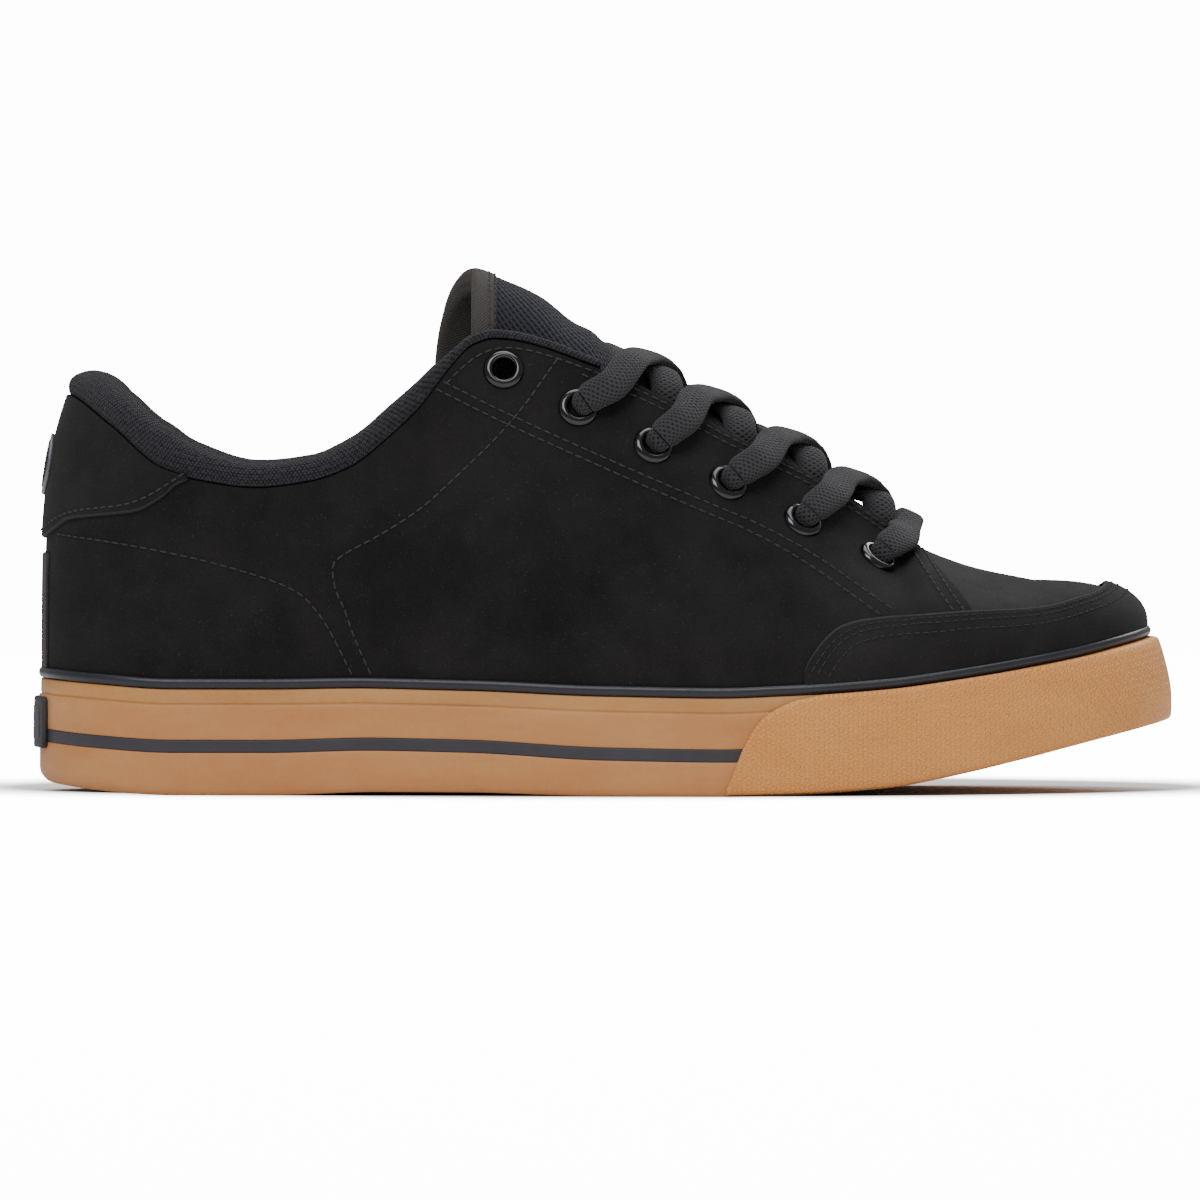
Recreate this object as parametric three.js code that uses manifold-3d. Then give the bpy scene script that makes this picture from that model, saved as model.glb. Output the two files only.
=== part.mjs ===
// A low skateboarding shoe for the right foot: a rubber cup sole with a toe bumper, a leather upper
// with a padded collar, a padded tongue, twelve eyelets and flat laces.
// Millimetres. +X points to the toe, +Z up, and the outer side of the foot faces -Y.
import * as THREE from "three";
import { mergeVertices } from "three/addons/utils/BufferGeometryUtils.js";
import Module from "manifold-3d";

const wasm = await Module();
wasm.setup();

// Driving dimensions of the whole shoe
const LENGTH = 300; // sole, from the back of the heel to the front of the toe bumper
const BALL_WIDTH = 110; // sole across the ball of the foot
const SOLE_HEIGHT = 28; // rubber side wall at the heel
const TOE_SPRING = 19.2; // lift of the sole at the tip of the toe
const HEEL_HEIGHT = 105; // floor to the upper's edge at the back of the heel
const ANKLE_HEIGHT = 81.3; // floor to the lowest point of the upper's edge
const INSTEP_HEIGHT = 120.5; // floor to the top corner of the eyestay
const TOE_HEIGHT = 57.2; // floor to the top of the toe box
const TONGUE_HEIGHT = 139; // floor to the top of the tongue
const CLEARANCE = 0.3; // between two pieces that meet

// Driving dimensions of the pieces
const UPPER_WALL = 2.6; // leather with its lining
const VAMP_STEP = 1.1; // how far the toe box lies under the quarters
const UPPER_INSET = 1.0; // from the sole's top edge in to the upper
const SOLE_WALL = 2.6; // rubber side wall at its top edge
const SOLE_FLOOR = 9; // rubber under the foot
const TREAD_DEPTH = 1.4;
const TREAD_WIDTH = 2.6;
const TREAD_PITCH = 12.5;
const INSOLE_THICKNESS = 5;
const BAND_HEIGHT = 2.4; // dark line round the sole's top edge
const BAND_PROUD = 0.25;
const STRIPE_HEIGHT = 3.5; // dark stripe inlaid in the side wall
const STRIPE_DEPTH = 0.9;
const LIP_HEIGHT = 4.2; // recessed lip along the sole's top edge
const LIP_DEPTH = 0.5;
const BUMPER_THICKNESS = 1.8;
const BADGE_HEIGHT = 13.6; // rubber tab on the back of the sole
const BADGE_HALF_WIDTH = 16;
const BADGE_THICKNESS = 1.2;
const OVERLAY_THICKNESS = 1.1; // toe guard and heel patch
const BACKSTAY_HALF_WIDTH = 12.5;
const BACKSTAY_THICKNESS = 0.7;
const EMBLEM_WIDTH = 21; // oval plate on the heel patch
const EMBLEM_HEIGHT = 16;
const EMBLEM_THICKNESS = 0.6;
const EYELET_COUNT = 6; // on each side
const EYELET_RADIUS = 5.3;
const EYELET_HOLE = 3.1;
const EYELET_BARREL = 0.5; // wall of the barrel through the leather
const EYELET_PROUD = 0.8;
const FIRST_EYELET_DROP = 8.2; // from the eyestay's top corner down to the first eyelet
const LAST_EYELET_DROP = 58.1; // and to the last one
const EYELET_ROW = { first: 0.411, last: 0.74 }; // ends of the row as shares of LENGTH
const LACE_WIDTH = 8.6;
const LACE_THICKNESS = 2.6;
const TONGUE_THICKNESS = 6;

// Where the plan outline's round ends and the ridge of the upper begin and stop, as shares of LENGTH
const HEEL_CENTRE = 0.13;
const TOE_START = 0.795;
const TOE_CENTRE = 0.88;
const HEEL_ROUNDNESS = 2.25; // exponents of the round ends: 2 is an ellipse, more is squarer
const TOE_ROUNDNESS = 2.3;

// Plan of the sole. x is a share of LENGTH; the others are shares of BALL_WIDTH: the centre line's
// shift to the inner side, and the widths from it to the outer and the inner edge.
const PLAN = [
  { x: 0.0, centre: 0.0, outer: 0.345, inner: 0.345 },
  { x: 0.13, centre: 0.0, outer: 0.359, inner: 0.35 },
  { x: 0.25, centre: 0.0, outer: 0.364, inner: 0.336 },
  { x: 0.37, centre: 0.005, outer: 0.386, inner: 0.336 },
  { x: 0.5, centre: 0.009, outer: 0.445, inner: 0.382 },
  { x: 0.62, centre: 0.018, outer: 0.505, inner: 0.436 },
  { x: 0.7, centre: 0.027, outer: 0.532, inner: 0.464 },
  { x: 0.8, centre: 0.041, outer: 0.536, inner: 0.459 },
  { x: 0.9, centre: 0.059, outer: 0.514, inner: 0.423 },
  { x: 1.0, centre: 0.073, outer: 0.491, inner: 0.382 },
];

// Side of the sole. lift is a share of TOE_SPRING; wall, lean (how far the top edge lies in) and
// tuck (how far the bottom edge lies in) are shares of SOLE_HEIGHT; stripe is a share of the wall.
const SIDE = [
  { x: 0.0, lift: 0.135, wall: 0.993, lean: 0.01, tuck: 0.093, stripe: 0.463 },
  { x: 0.05, lift: 0.055, wall: 1.01, lean: 0.014, tuck: 0.07, stripe: 0.463 },
  { x: 0.12, lift: 0.0, wall: 1.004, lean: 0.02, tuck: 0.045, stripe: 0.463 },
  { x: 0.2, lift: 0.0, wall: 1.003, lean: 0.028, tuck: 0.036, stripe: 0.463 },
  { x: 0.3, lift: 0.048, wall: 0.979, lean: 0.034, tuck: 0.036, stripe: 0.463 },
  { x: 0.38, lift: 0.045, wall: 0.961, lean: 0.036, tuck: 0.036, stripe: 0.455 },
  { x: 0.5, lift: 0.0, wall: 0.943, lean: 0.036, tuck: 0.032, stripe: 0.425 },
  { x: 0.6, lift: 0.0, wall: 0.929, lean: 0.036, tuck: 0.028, stripe: 0.416 },
  { x: 0.66, lift: 0.026, wall: 0.936, lean: 0.039, tuck: 0.025, stripe: 0.416 },
  { x: 0.75, lift: 0.13, wall: 0.932, lean: 0.046, tuck: 0.021, stripe: 0.416 },
  { x: 0.8, lift: 0.27, wall: 0.907, lean: 0.057, tuck: 0.018, stripe: 0.416 },
  { x: 0.87, lift: 0.515, wall: 0.854, lean: 0.082, tuck: 0.014, stripe: 0.416 },
  { x: 0.94, lift: 0.78, wall: 0.808, lean: 0.111, tuck: 0.011, stripe: 0.416 },
  { x: 1.0, lift: 1.0, wall: 0.8, lean: 0.132, tuck: 0.011, stripe: 0.416 },
];

// Sections of the last. x is a share of LENGTH. Each section passes through a point whose height is
// mixed from the named heights and whose distance from the centre line is a share of the section's
// width; round and steep are the exponents of its curve across and up. ridge is the share of its
// height that stands along the middle, under the laces, and spread the ridge's half width.
const LAST = [
  { x: 0.0, heel: 1, instep: 0, toe: 0, share: 0.81, round: 1.0, steep: 3.65, ridge: 0, spread: 0.5 },
  { x: 0.13, heel: 0.8, instep: 0, toe: 0, share: 0.9, round: 1.0, steep: 2.96, ridge: 0, spread: 0.5 },
  { x: 0.25, heel: 0.68, instep: 0.32, toe: 0, share: 0.77, round: 1.0, steep: 3.3, ridge: 0, spread: 0.5 },
  { x: 0.35, heel: 0.16, instep: 0.84, toe: 0, share: 0.69, round: 1.0, steep: 2.8, ridge: 0, spread: 0.5 },
  { x: 0.403, heel: 0, instep: 1, toe: 0, share: 0.64, round: 1.0, steep: 2.55, ridge: 0, spread: 0.5 },
  { x: 0.5, heel: 0, instep: 0.869, toe: 0.131, share: 0.55, round: 1.1, steep: 2.4, ridge: 0, spread: 0.5 },
  { x: 0.62, heel: 0, instep: 0.585, toe: 0.415, share: 0.39, round: 1.4, steep: 2.2, ridge: 0.25, spread: 0.47 },
  { x: 0.69, heel: 0, instep: 0.414, toe: 0.586, share: 0.3, round: 1.6, steep: 2.1, ridge: 0.32, spread: 0.42 },
  { x: 0.75, heel: 0, instep: 0.231, toe: 0.769, share: 0.19, round: 2.0, steep: 2.1, ridge: 0.36, spread: 0.27 },
  { x: 0.783, heel: 0, instep: 0.13, toe: 0.87, share: 0, round: 2.0, steep: 2.1, ridge: 0, spread: 0.27 },
  { x: 0.803, heel: 0, instep: 0.09, toe: 0.91, share: 0, round: 2.0, steep: 2.1, ridge: 0, spread: 0.27 },
  { x: 0.83, heel: 0, instep: 0.049, toe: 0.951, share: 0, round: 2.15, steep: 2.15, ridge: 0, spread: 0.27 },
  { x: 0.88, heel: 0, instep: 0, toe: 1, share: 0, round: 2.6, steep: 2.3, ridge: 0, spread: 0.27 },
];

// Edge of the upper from the back of the heel to the eyestay's top corner, seen from the side
const TOPLINE = [
  { x: -0.1, heel: 1, ankle: 0, instep: 0 },
  { x: 0.024, heel: 1, ankle: 0, instep: 0 },
  { x: 0.064, heel: 0.68, ankle: 0.32, instep: 0 },
  { x: 0.11, heel: 0.2, ankle: 0.8, instep: 0 },
  { x: 0.139, heel: 0.09, ankle: 0.91, instep: 0 },
  { x: 0.193, heel: 0, ankle: 1, instep: 0 },
  { x: 0.239, heel: 0, ankle: 0.96, instep: 0.04 },
  { x: 0.275, heel: 0, ankle: 0.865, instep: 0.135 },
  { x: 0.31, heel: 0, ankle: 0.66, instep: 0.34 },
  { x: 0.337, heel: 0, ankle: 0.46, instep: 0.54 },
  { x: 0.352, heel: 0, ankle: 0.31, instep: 0.69 },
  { x: 0.367, heel: 0, ankle: 0.165, instep: 0.835 },
  { x: 0.383, heel: 0, ankle: 0.045, instep: 0.955 },
  { x: 0.403, heel: 0, ankle: 0, instep: 1 },
  { x: 0.42, heel: 0, ankle: 0.01, instep: 0.99 },
];

// Lower edges of the overlays, seen from the side, as shares of LENGTH and of the named heights
const GUARD_EDGE = [
  { x: 0.671, toe: 0.44 },
  { x: 0.674, toe: 0.57 },
  { x: 0.684, toe: 0.67 },
  { x: 0.694, toe: 0.735 },
  { x: 0.708, toe: 0.79 },
  { x: 0.731, toe: 0.82 },
  { x: 0.771, toe: 0.836 },
  { x: 0.823, toe: 0.853 },
  { x: 0.865, toe: 0.86 },
  { x: 0.889, toe: 0.872 },
  { x: 0.912, toe: 0.902 },
  { x: 0.931, toe: 0.93 },
  { x: 0.943, toe: 0.978 },
];
const PATCH_EDGE = [
  { x: -0.01, heel: 0.59 },
  { x: 0.002, heel: 0.63 },
  { x: 0.016, heel: 0.664 },
  { x: 0.03, heel: 0.691 },
  { x: 0.052, heel: 0.699 },
  { x: 0.087, heel: 0.711 },
  { x: 0.11, heel: 0.745 },
  { x: 0.124, heel: 0.779 },
  { x: 0.14, heel: 0.797 },
];
const QUARTER_FRONT = { top: 0.783, bottom: 0.84 }; // edge of the quarters over the toe box
const BUMPER_REAR = [
  { x: 0.605, wall: 0.02 },
  { x: 0.612, wall: 0.22 },
  { x: 0.623, wall: 0.53 },
  { x: 0.64, wall: 0.8 },
  { x: 0.671, wall: 0.96 },
  { x: 0.712, wall: 1.02 },
];

// The padded collar along the topline, from the second eyelet back to the heel: how high it stands
// over the upper's edge, its thickness and how far it reaches down inside, as shares of HEEL_HEIGHT
const COLLAR = [
  { x: 0.0, rise: 0.055, thick: 0.13, depth: 0.26 },
  { x: 0.06, rise: 0.115, thick: 0.13, depth: 0.24 },
  { x: 0.11, rise: 0.125, thick: 0.12, depth: 0.2 },
  { x: 0.14, rise: 0.1, thick: 0.11, depth: 0.18 },
  { x: 0.19, rise: 0.068, thick: 0.1, depth: 0.16 },
  { x: 0.24, rise: 0.062, thick: 0.092, depth: 0.16 },
  { x: 0.275, rise: 0.068, thick: 0.08, depth: 0.16 },
  { x: 0.31, rise: 0.074, thick: 0.065, depth: 0.15 },
  { x: 0.337, rise: 0.068, thick: 0.055, depth: 0.13 },
  { x: 0.365, rise: 0.038, thick: 0.046, depth: 0.09 },
  { x: 0.385, rise: 0.026, thick: 0.04, depth: 0.05 },
  { x: 0.41, rise: 0.022, thick: 0.036, depth: 0.02 },
  { x: 0.5, rise: 0.02, thick: 0.034, depth: 0.02 },
];
const COLLAR_FRONT = 0.468;

// The tongue from its front end under the toe box up to its rim. crown is the height of its middle
// line, mixed from the tongue's, the instep's and the toe's height; half is its half width as a
// share of the room inside the upper at its foot, and foot the drop from the crown to its edges.
const TONGUE = [
  { x: 0.347, tongue: 1, instep: 0, toe: 0, half: 0.8, foot: 0.3, thick: 1.0 },
  { x: 0.375, tongue: 1, instep: 0, toe: 0, half: 0.8, foot: 0.3, thick: 1.0 },
  { x: 0.42, tongue: 0.77, instep: 0.23, toe: 0, half: 0.78, foot: 0.3, thick: 1.0 },
  { x: 0.445, tongue: 0.57, instep: 0.43, toe: 0, half: 0.79, foot: 0.28, thick: 1.0 },
  { x: 0.467, tongue: 0.27, instep: 0.73, toe: 0, half: 0.8, foot: 0.25, thick: 0.9 },
  { x: 0.49, tongue: 0, instep: 0.965, toe: 0.035, half: 0.81, foot: 0.2, thick: 0.8 },
  { x: 0.51, tongue: 0, instep: 0.83, toe: 0.17, half: 0.82, foot: 0.18, thick: 0.7 },
  { x: 0.54, tongue: 0, instep: 0.71, toe: 0.29, half: 0.82, foot: 0.17, thick: 0.65 },
  { x: 0.62, tongue: 0, instep: 0.51, toe: 0.49, half: 0.82, foot: 0.14, thick: 0.55 },
  { x: 0.69, tongue: 0, instep: 0.335, toe: 0.665, half: 0.8, foot: 0.11, thick: 0.5 },
  { x: 0.74, tongue: 0, instep: 0.155, toe: 0.845, half: 0.72, foot: 0.075, thick: 0.4 },
  { x: 0.77, tongue: 0, instep: 0.04, toe: 0.96, half: 0.6, foot: 0.055, thick: 0.35 },
  { x: 0.81, tongue: 0, instep: 0.0, toe: 0.97, half: 0.45, foot: 0.04, thick: 0.35 },
];
const RIM_SKEW = 0.034; // how far the rim's inner end lies behind its outer end, share of LENGTH

// Smooth curve through one column of a table that never swings past its rows
function curve(rows, key) {
  const slopes = rows.slice(1).map((r, i) => (r[key] - rows[i][key]) / (r.x - rows[i].x));
  const tangents = rows.map((_, i) => {
    if (i === 0) return slopes[0];
    if (i === rows.length - 1) return slopes[i - 1];
    const [a, b] = [slopes[i - 1], slopes[i]];
    return a * b <= 0 ? 0 : (2 * a * b) / (a + b);
  });
  return (x) => {
    const u = THREE.MathUtils.clamp(x / LENGTH, rows[0].x, rows[rows.length - 1].x);
    const i = Math.max(0, rows.findLastIndex((r, n) => r.x <= u && n < rows.length - 1));
    const span = rows[i + 1].x - rows[i].x;
    const t = (u - rows[i].x) / span;
    const [t2, t3] = [t * t, t * t * t];
    return (
      (2 * t3 - 3 * t2 + 1) * rows[i][key] +
      (t3 - 2 * t2 + t) * span * tangents[i] +
      (3 * t2 - 2 * t3) * rows[i + 1][key] +
      (t3 - t2) * span * tangents[i + 1]
    );
  };
}

// Adds to each row its height in millimetres, mixed from the named heights
const HEIGHTS = {
  heel: HEEL_HEIGHT,
  ankle: ANKLE_HEIGHT,
  instep: INSTEP_HEIGHT,
  toe: TOE_HEIGHT,
  tongue: TONGUE_HEIGHT,
};
const withHeights = (rows) =>
  rows.map((row) => ({
    ...row,
    z: Object.keys(HEIGHTS).reduce((sum, key) => sum + (row[key] ?? 0) * HEIGHTS[key], 0),
  }));

const centreLine = curve(PLAN, "centre");
const edge = { [-1]: curve(PLAN, "outer"), [1]: curve(PLAN, "inner") };
const lift = curve(SIDE, "lift");
const wall = curve(SIDE, "wall");
const lean = curve(SIDE, "lean");
const tuck = curve(SIDE, "tuck");
const stripeShare = curve(SIDE, "stripe");
const last = withHeights(LAST);
const lastHeight = curve(last, "z");
const lastShare = curve(last, "share");
const lastRound = curve(last, "round");
const lastSteep = curve(last, "steep");
const topline = curve(withHeights(TOPLINE), "z");

const WALL_LENGTH = LENGTH - BUMPER_THICKNESS;
const HEEL_X = HEEL_CENTRE * LENGTH;
const TOE_X = TOE_START * LENGTH;
const RIDGE_END = TOE_CENTRE * LENGTH;
const soleUnder = (x) => lift(x) * TOE_SPRING;
const soleOver = (x) => soleUnder(x) + wall(x) * SOLE_HEIGHT;
const bandOver = (x) => soleOver(x) + CLEARANCE + BAND_HEIGHT;
const floorOver = (x) => soleUnder(x) + SOLE_FLOOR;
const topInset = (x) => lean(x) * SOLE_HEIGHT;
const centreY = (x) => centreLine(x) * BALL_WIDTH;

const samples = (from, to, count) =>
  Array.from({ length: count + 1 }, (_, i) => THREE.MathUtils.lerp(from, to, i / count));

// A place on the shoe's outline. side is -1 outer or 1 inner; along and wide are 1 in the middle,
// and at the round ends they are the shares of the end's length and of the width.
function middle(x, side) {
  return { side, x, end: 0, along: 0, wide: 1 };
}
function round(turn, side, end) {
  const power = 2 / (end < 0 ? HEEL_ROUNDNESS : TOE_ROUNDNESS);
  const along = Math.cos(turn) ** power;
  const x = end < 0 ? HEEL_X * (1 - along) : TOE_X + (WALL_LENGTH - TOE_X) * along;
  return { side, x, end, along, wide: Math.sin(turn) ** power };
}
// The outline's point there, grown outwards by an offset
function outline(place, offset) {
  const { side, x, end, along, wide } = place;
  const reach = end < 0 ? HEEL_X : WALL_LENGTH - TOE_X;
  const start = end < 0 ? HEEL_X : TOE_X;
  const px = end ? start + end * (reach + offset) * along : x;
  const half = edge[side](x) * BALL_WIDTH + offset;
  return new THREE.Vector2(px, centreY(x) + side * half * wide);
}
// The centre line's point that faces it, where the sections of the round ends meet
function spine(place) {
  const x = THREE.MathUtils.clamp(place.x, HEEL_X, RIDGE_END);
  return new THREE.Vector2(x, centreY(x));
}

// Stations of the ring: turns of the round ends, and shares of LENGTH between them
const HEEL_STEPS = 6;
const TOE_STEPS = 8;
const STATIONS = [
  0.13, 0.19, 0.25, 0.3, 0.35, 0.403, 0.45, 0.5, 0.56, 0.62, 0.66, 0.69, 0.72, 0.75, 0.768, 0.783,
  0.795,
];
function halfRing(side) {
  const quarter = Math.PI / 2;
  const heel = samples(0, quarter, HEEL_STEPS).slice(0, -1);
  const toe = samples(quarter, 0, TOE_STEPS).slice(1);
  return [
    ...heel.map((turn) => round(turn, side, -1)),
    ...STATIONS.map((share) => middle(share * LENGTH, side)),
    ...toe.map((turn) => round(turn, side, 1)),
  ];
}
const RING = [...halfRing(-1), ...halfRing(1).slice(1, -1).reverse()];

// A closed mesh as a solid for joining and cutting, and back
const SMALLEST = 0.02; // details below this are merged away
function solidOf(geometry) {
  const plain = geometry.clone();
  plain.deleteAttribute("normal");
  plain.deleteAttribute("uv");
  const merged = mergeVertices(plain, 1e-4);
  const index = merged.index.array;
  const triVerts = [];
  for (let i = 0; i < index.length; i += 3) {
    const [a, b, c] = [index[i], index[i + 1], index[i + 2]];
    if (a !== b && b !== c && c !== a) triVerts.push(a, b, c);
  }
  return new wasm.Manifold(
    new wasm.Mesh({
      numProp: 3,
      vertProperties: merged.attributes.position.array,
      triVerts: new Uint32Array(triVerts),
    }),
  );
}
function geometryOf(solid) {
  const mesh = solid.simplify(SMALLEST).getMesh();
  const geometry = new THREE.BufferGeometry();
  geometry.setAttribute("position", new THREE.BufferAttribute(mesh.vertProperties, 3));
  geometry.setIndex(new THREE.BufferAttribute(mesh.triVerts, 1));
  const flat = geometry.toNonIndexed();
  flat.computeVertexNormals();
  return flat;
}

// A closed surface from rows of points round the shoe, closed below and above on the centre line
function ringSolid(rows, bottomZ, topZ) {
  const positions = [];
  const faces = [];
  const add = (p) => positions.push(p.x, p.y, p.z) / 3 - 1;
  const spineRow = (height) =>
    RING.map((place) => {
      const c = spine(place);
      return new THREE.Vector3(c.x, c.y, height(c.x));
    });
  const all = [spineRow(bottomZ), ...rows.map((row) => RING.map(row)), spineRow(topZ)];
  const ids = all.map((row) => row.map(add));
  for (let j = 0; j + 1 < ids.length; j += 1) {
    for (let k = 0; k < RING.length; k += 1) {
      const n = (k + 1) % RING.length;
      faces.push(ids[j][k], ids[j][n], ids[j + 1][n], ids[j][k], ids[j + 1][n], ids[j + 1][k]);
    }
  }
  const geometry = new THREE.BufferGeometry();
  geometry.setAttribute("position", new THREE.Float32BufferAttribute(positions, 3));
  geometry.setIndex(faces);
  return solidOf(geometry);
}

// A solid through a row of closed sections with as many points each, with flat ends
function loft(sections) {
  const count = sections[0].length;
  const points = sections.flat();
  const faces = [];
  for (let i = 0; i + 1 < sections.length; i += 1) {
    for (let k = 0; k < count; k += 1) {
      const n = (k + 1) % count;
      const [a, b] = [i * count, (i + 1) * count];
      faces.push(a + k, a + n, b + n, a + k, b + n, b + k);
    }
  }
  [0, sections.length - 1].forEach((i) => {
    const middlePoint = sections[i].reduce((sum, p) => sum.add(p), new THREE.Vector3());
    points.push(middlePoint.divideScalar(count));
    for (let k = 0; k < count; k += 1) {
      const pair = [i * count + k, i * count + ((k + 1) % count)];
      if (i === 0) pair.reverse();
      faces.push(points.length - 1, ...pair);
    }
  });
  const geometry = new THREE.BufferGeometry();
  geometry.setAttribute(
    "position",
    new THREE.Float32BufferAttribute(points.flatMap((p) => [p.x, p.y, p.z]), 3),
  );
  geometry.setIndex(faces);
  const solid = solidOf(geometry);
  return solid.volume() < 0 ? solidOf(geometry.setIndex(faces.reverse())) : solid;
}

// A block with an outline drawn in side view, through the whole width of the shoe
const BLOCK_HALF_WIDTH = BALL_WIDTH;
function sideBlock(points, fromY = -BLOCK_HALF_WIDTH, toY = BLOCK_HALF_WIDTH) {
  const shape = new THREE.Shape(points.map(([x, z]) => new THREE.Vector2(x, z)));
  const block = new THREE.ExtrudeGeometry(shape, { depth: toY - fromY, bevelEnabled: false });
  block.rotateX(Math.PI / 2);
  block.translate(0, toY, 0);
  return solidOf(block);
}
const FAR = 2 * LENGTH;

// Height over the floor of the crest of the upper's section
const lastRidge = curve(last, "ridge");
const lastSpread = curve(last, "spread");
function rise(x, turn) {
  const flat = Math.cos(turn) ** (2 / lastRound(x));
  const dome = Math.sin(turn) ** (2 / lastSteep(x));
  return (1 - lastRidge(x)) * dome + lastRidge(x) * Math.exp(-((flat / lastSpread(x)) ** 2));
}
const upperBase = (x) => bandOver(x) + CLEARANCE;
function crest(x) {
  const turn = Math.acos(lastShare(x) ** (lastRound(x) / 2));
  return upperBase(x) + (lastHeight(x) - upperBase(x)) / rise(x, turn);
}
// The point of the upper's outer surface at a turn of its section, grown outwards by an offset
function upperPoint(place, turn, offset = 0) {
  const from = spine(place);
  const to = outline(place, offset - topInset(place.x) - UPPER_INSET);
  const base = upperBase(place.x);
  const at = from.lerp(to, Math.cos(turn) ** (2 / lastRound(place.x)));
  const height = crest(spine(place).x) + offset - base;
  return new THREE.Vector3(at.x, at.y, base + height * rise(place.x, turn));
}
// The same at a height over the floor
function upperAt(place, z, offset = 0) {
  let [low, high] = [0, Math.PI / 2];
  for (let i = 0; i < 40; i += 1) {
    const turn = (low + high) / 2;
    if (upperPoint(place, turn, offset).z < z) low = turn;
    else high = turn;
  }
  return upperPoint(place, low, offset);
}

// The whole form of the upper as a solid: inside the sole's wall below, the last's curve above
const UPPER_ROWS = 7;
function upperForm(offset, { below = 0, seat = 0 } = {}) {
  const inside = (x) => offset - topInset(x) - SOLE_WALL - CLEARANCE;
  const low = (x) => floorOver(x) + CLEARANCE - below;
  const turns = samples(0, 1, UPPER_ROWS).map((t) => (Math.PI / 2) * t ** 1.5);
  if (seat) turns.shift();
  const rows = [
    (place) => flatPoint(place, inside(place.x), low(place.x)),
    (place) => flatPoint(place, inside(place.x), upperBase(place.x) + seat),
    ...turns.map((turn) => (place) => upperPoint(place, turn, offset)),
  ];
  const top = (x) => crest(x) + offset;
  return ringSolid(rows, low, top);
}
function flatPoint(place, offset, z) {
  const p = outline(place, offset);
  return new THREE.Vector3(p.x, p.y, z);
}
const quarterBlock = sideBlock([
  [-LENGTH, -FAR],
  [QUARTER_FRONT.bottom * LENGTH + 4, -FAR],
  [QUARTER_FRONT.bottom * LENGTH + 4, 0.5 * TOE_HEIGHT],
  [QUARTER_FRONT.bottom * LENGTH - 2, 0.76 * TOE_HEIGHT],
  [(QUARTER_FRONT.bottom + QUARTER_FRONT.top) * 0.5 * LENGTH - 2, 0.97 * TOE_HEIGHT],
  [QUARTER_FRONT.top * LENGTH, 1.11 * TOE_HEIGHT],
  [QUARTER_FRONT.top * LENGTH, FAR],
  [-LENGTH, FAR],
]);
// Toe box a step lower than the quarters
const layered = (offset) =>
  upperForm(offset - VAMP_STEP).add(
    upperForm(offset).intersect(quarterBlock.translate([offset, 0, 0])),
  );

// What the foot's opening takes away: above the topline, and between the two eyestays
const OPENING_FRONT = 0.42 * LENGTH;
const overTopline = sideBlock([
  ...samples(-0.1 * LENGTH, OPENING_FRONT, 60).map((x) => [x, topline(x)]),
  [OPENING_FRONT, FAR],
  [-0.1 * LENGTH, FAR],
]);
const THROAT = { back: 0.4, taper: 0.745, front: 0.787 };
function throatHalf(x, side) {
  const taper = THROAT.taper * LENGTH;
  const at = Math.min(x, taper);
  const place = middle(at, side);
  const half = lastShare(at) * Math.abs(outline(place, -topInset(at) - UPPER_INSET).y - centreY(at));
  const past = Math.max(0, (x - taper) / ((THROAT.front - THROAT.taper) * LENGTH));
  return half * Math.sqrt(Math.max(0, 1 - past * past));
}
function throatBlock() {
  const xs = [
    ...samples(THROAT.back, THROAT.taper, 24).slice(0, -1),
    ...samples(0, Math.PI / 2, 8).map((t) => THREE.MathUtils.lerp(THROAT.taper, THROAT.front, Math.sin(t))),
  ].map((share) => share * LENGTH);
  const edgeOf = (side) => xs.map((x) => new THREE.Vector2(x, centreY(x) + side * throatHalf(x, side)));
  const plan = new THREE.Shape([...edgeOf(-1), ...edgeOf(1).slice(0, -1).reverse()]);
  const block = new THREE.ExtrudeGeometry(plan, { depth: FAR, bevelEnabled: false });
  return solidOf(block.translate(0, 0, 0.75 * TOE_HEIGHT));
}

// Eyelets: a straight row in side view on each side
const leather = new THREE.Mesh(
  geometryOf(upperForm(0)),
  new THREE.MeshBasicMaterial({ side: THREE.DoubleSide }),
);
function eyeletSeat(number, side) {
  const share = (number - 1) / (EYELET_COUNT - 1);
  const x = THREE.MathUtils.lerp(EYELET_ROW.first, EYELET_ROW.last, share) * LENGTH;
  const z = INSTEP_HEIGHT - THREE.MathUtils.lerp(FIRST_EYELET_DROP, LAST_EYELET_DROP, share);
  const at = (px, pz) => upperAt(middle(px, side), pz);
  const r = EYELET_RADIUS * 0.8;
  const centre = at(x, z);
  const eastward = at(x + r, z).sub(at(x - r, z)).normalize();
  const normal = new THREE.Vector3().crossVectors(eastward, at(x, z + r).sub(at(x, z - r))).normalize();
  if (normal.y * side < 0) normal.negate();
  const northward = new THREE.Vector3().crossVectors(normal, eastward);
  // Lifted until the flange clears the leather under all of it
  const heights = samples(0, 2 * Math.PI, 12).flatMap((t) =>
    [0, EYELET_RADIUS].map((radius) => {
      const from = centre
        .clone()
        .addScaledVector(eastward, radius * Math.cos(t))
        .addScaledVector(northward, radius * Math.sin(t))
        .addScaledVector(normal, 20);
      return 20 - new THREE.Raycaster(from, normal.clone().negate()).intersectObject(leather)[0].distance;
    }),
  );
  return { centre: centre.addScaledVector(normal, Math.max(...heights)), normal };
}
function alongNormal(geometry, { centre, normal }) {
  const turn = new THREE.Quaternion().setFromUnitVectors(new THREE.Vector3(0, 1, 0), normal);
  return geometry.applyQuaternion(turn).translate(centre.x, centre.y, centre.z);
}
const seats = [-1, 1].flatMap((side) =>
  Array.from({ length: EYELET_COUNT }, (_, i) => ({ side, number: i + 1, ...eyeletSeat(i + 1, side) })),
);
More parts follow.
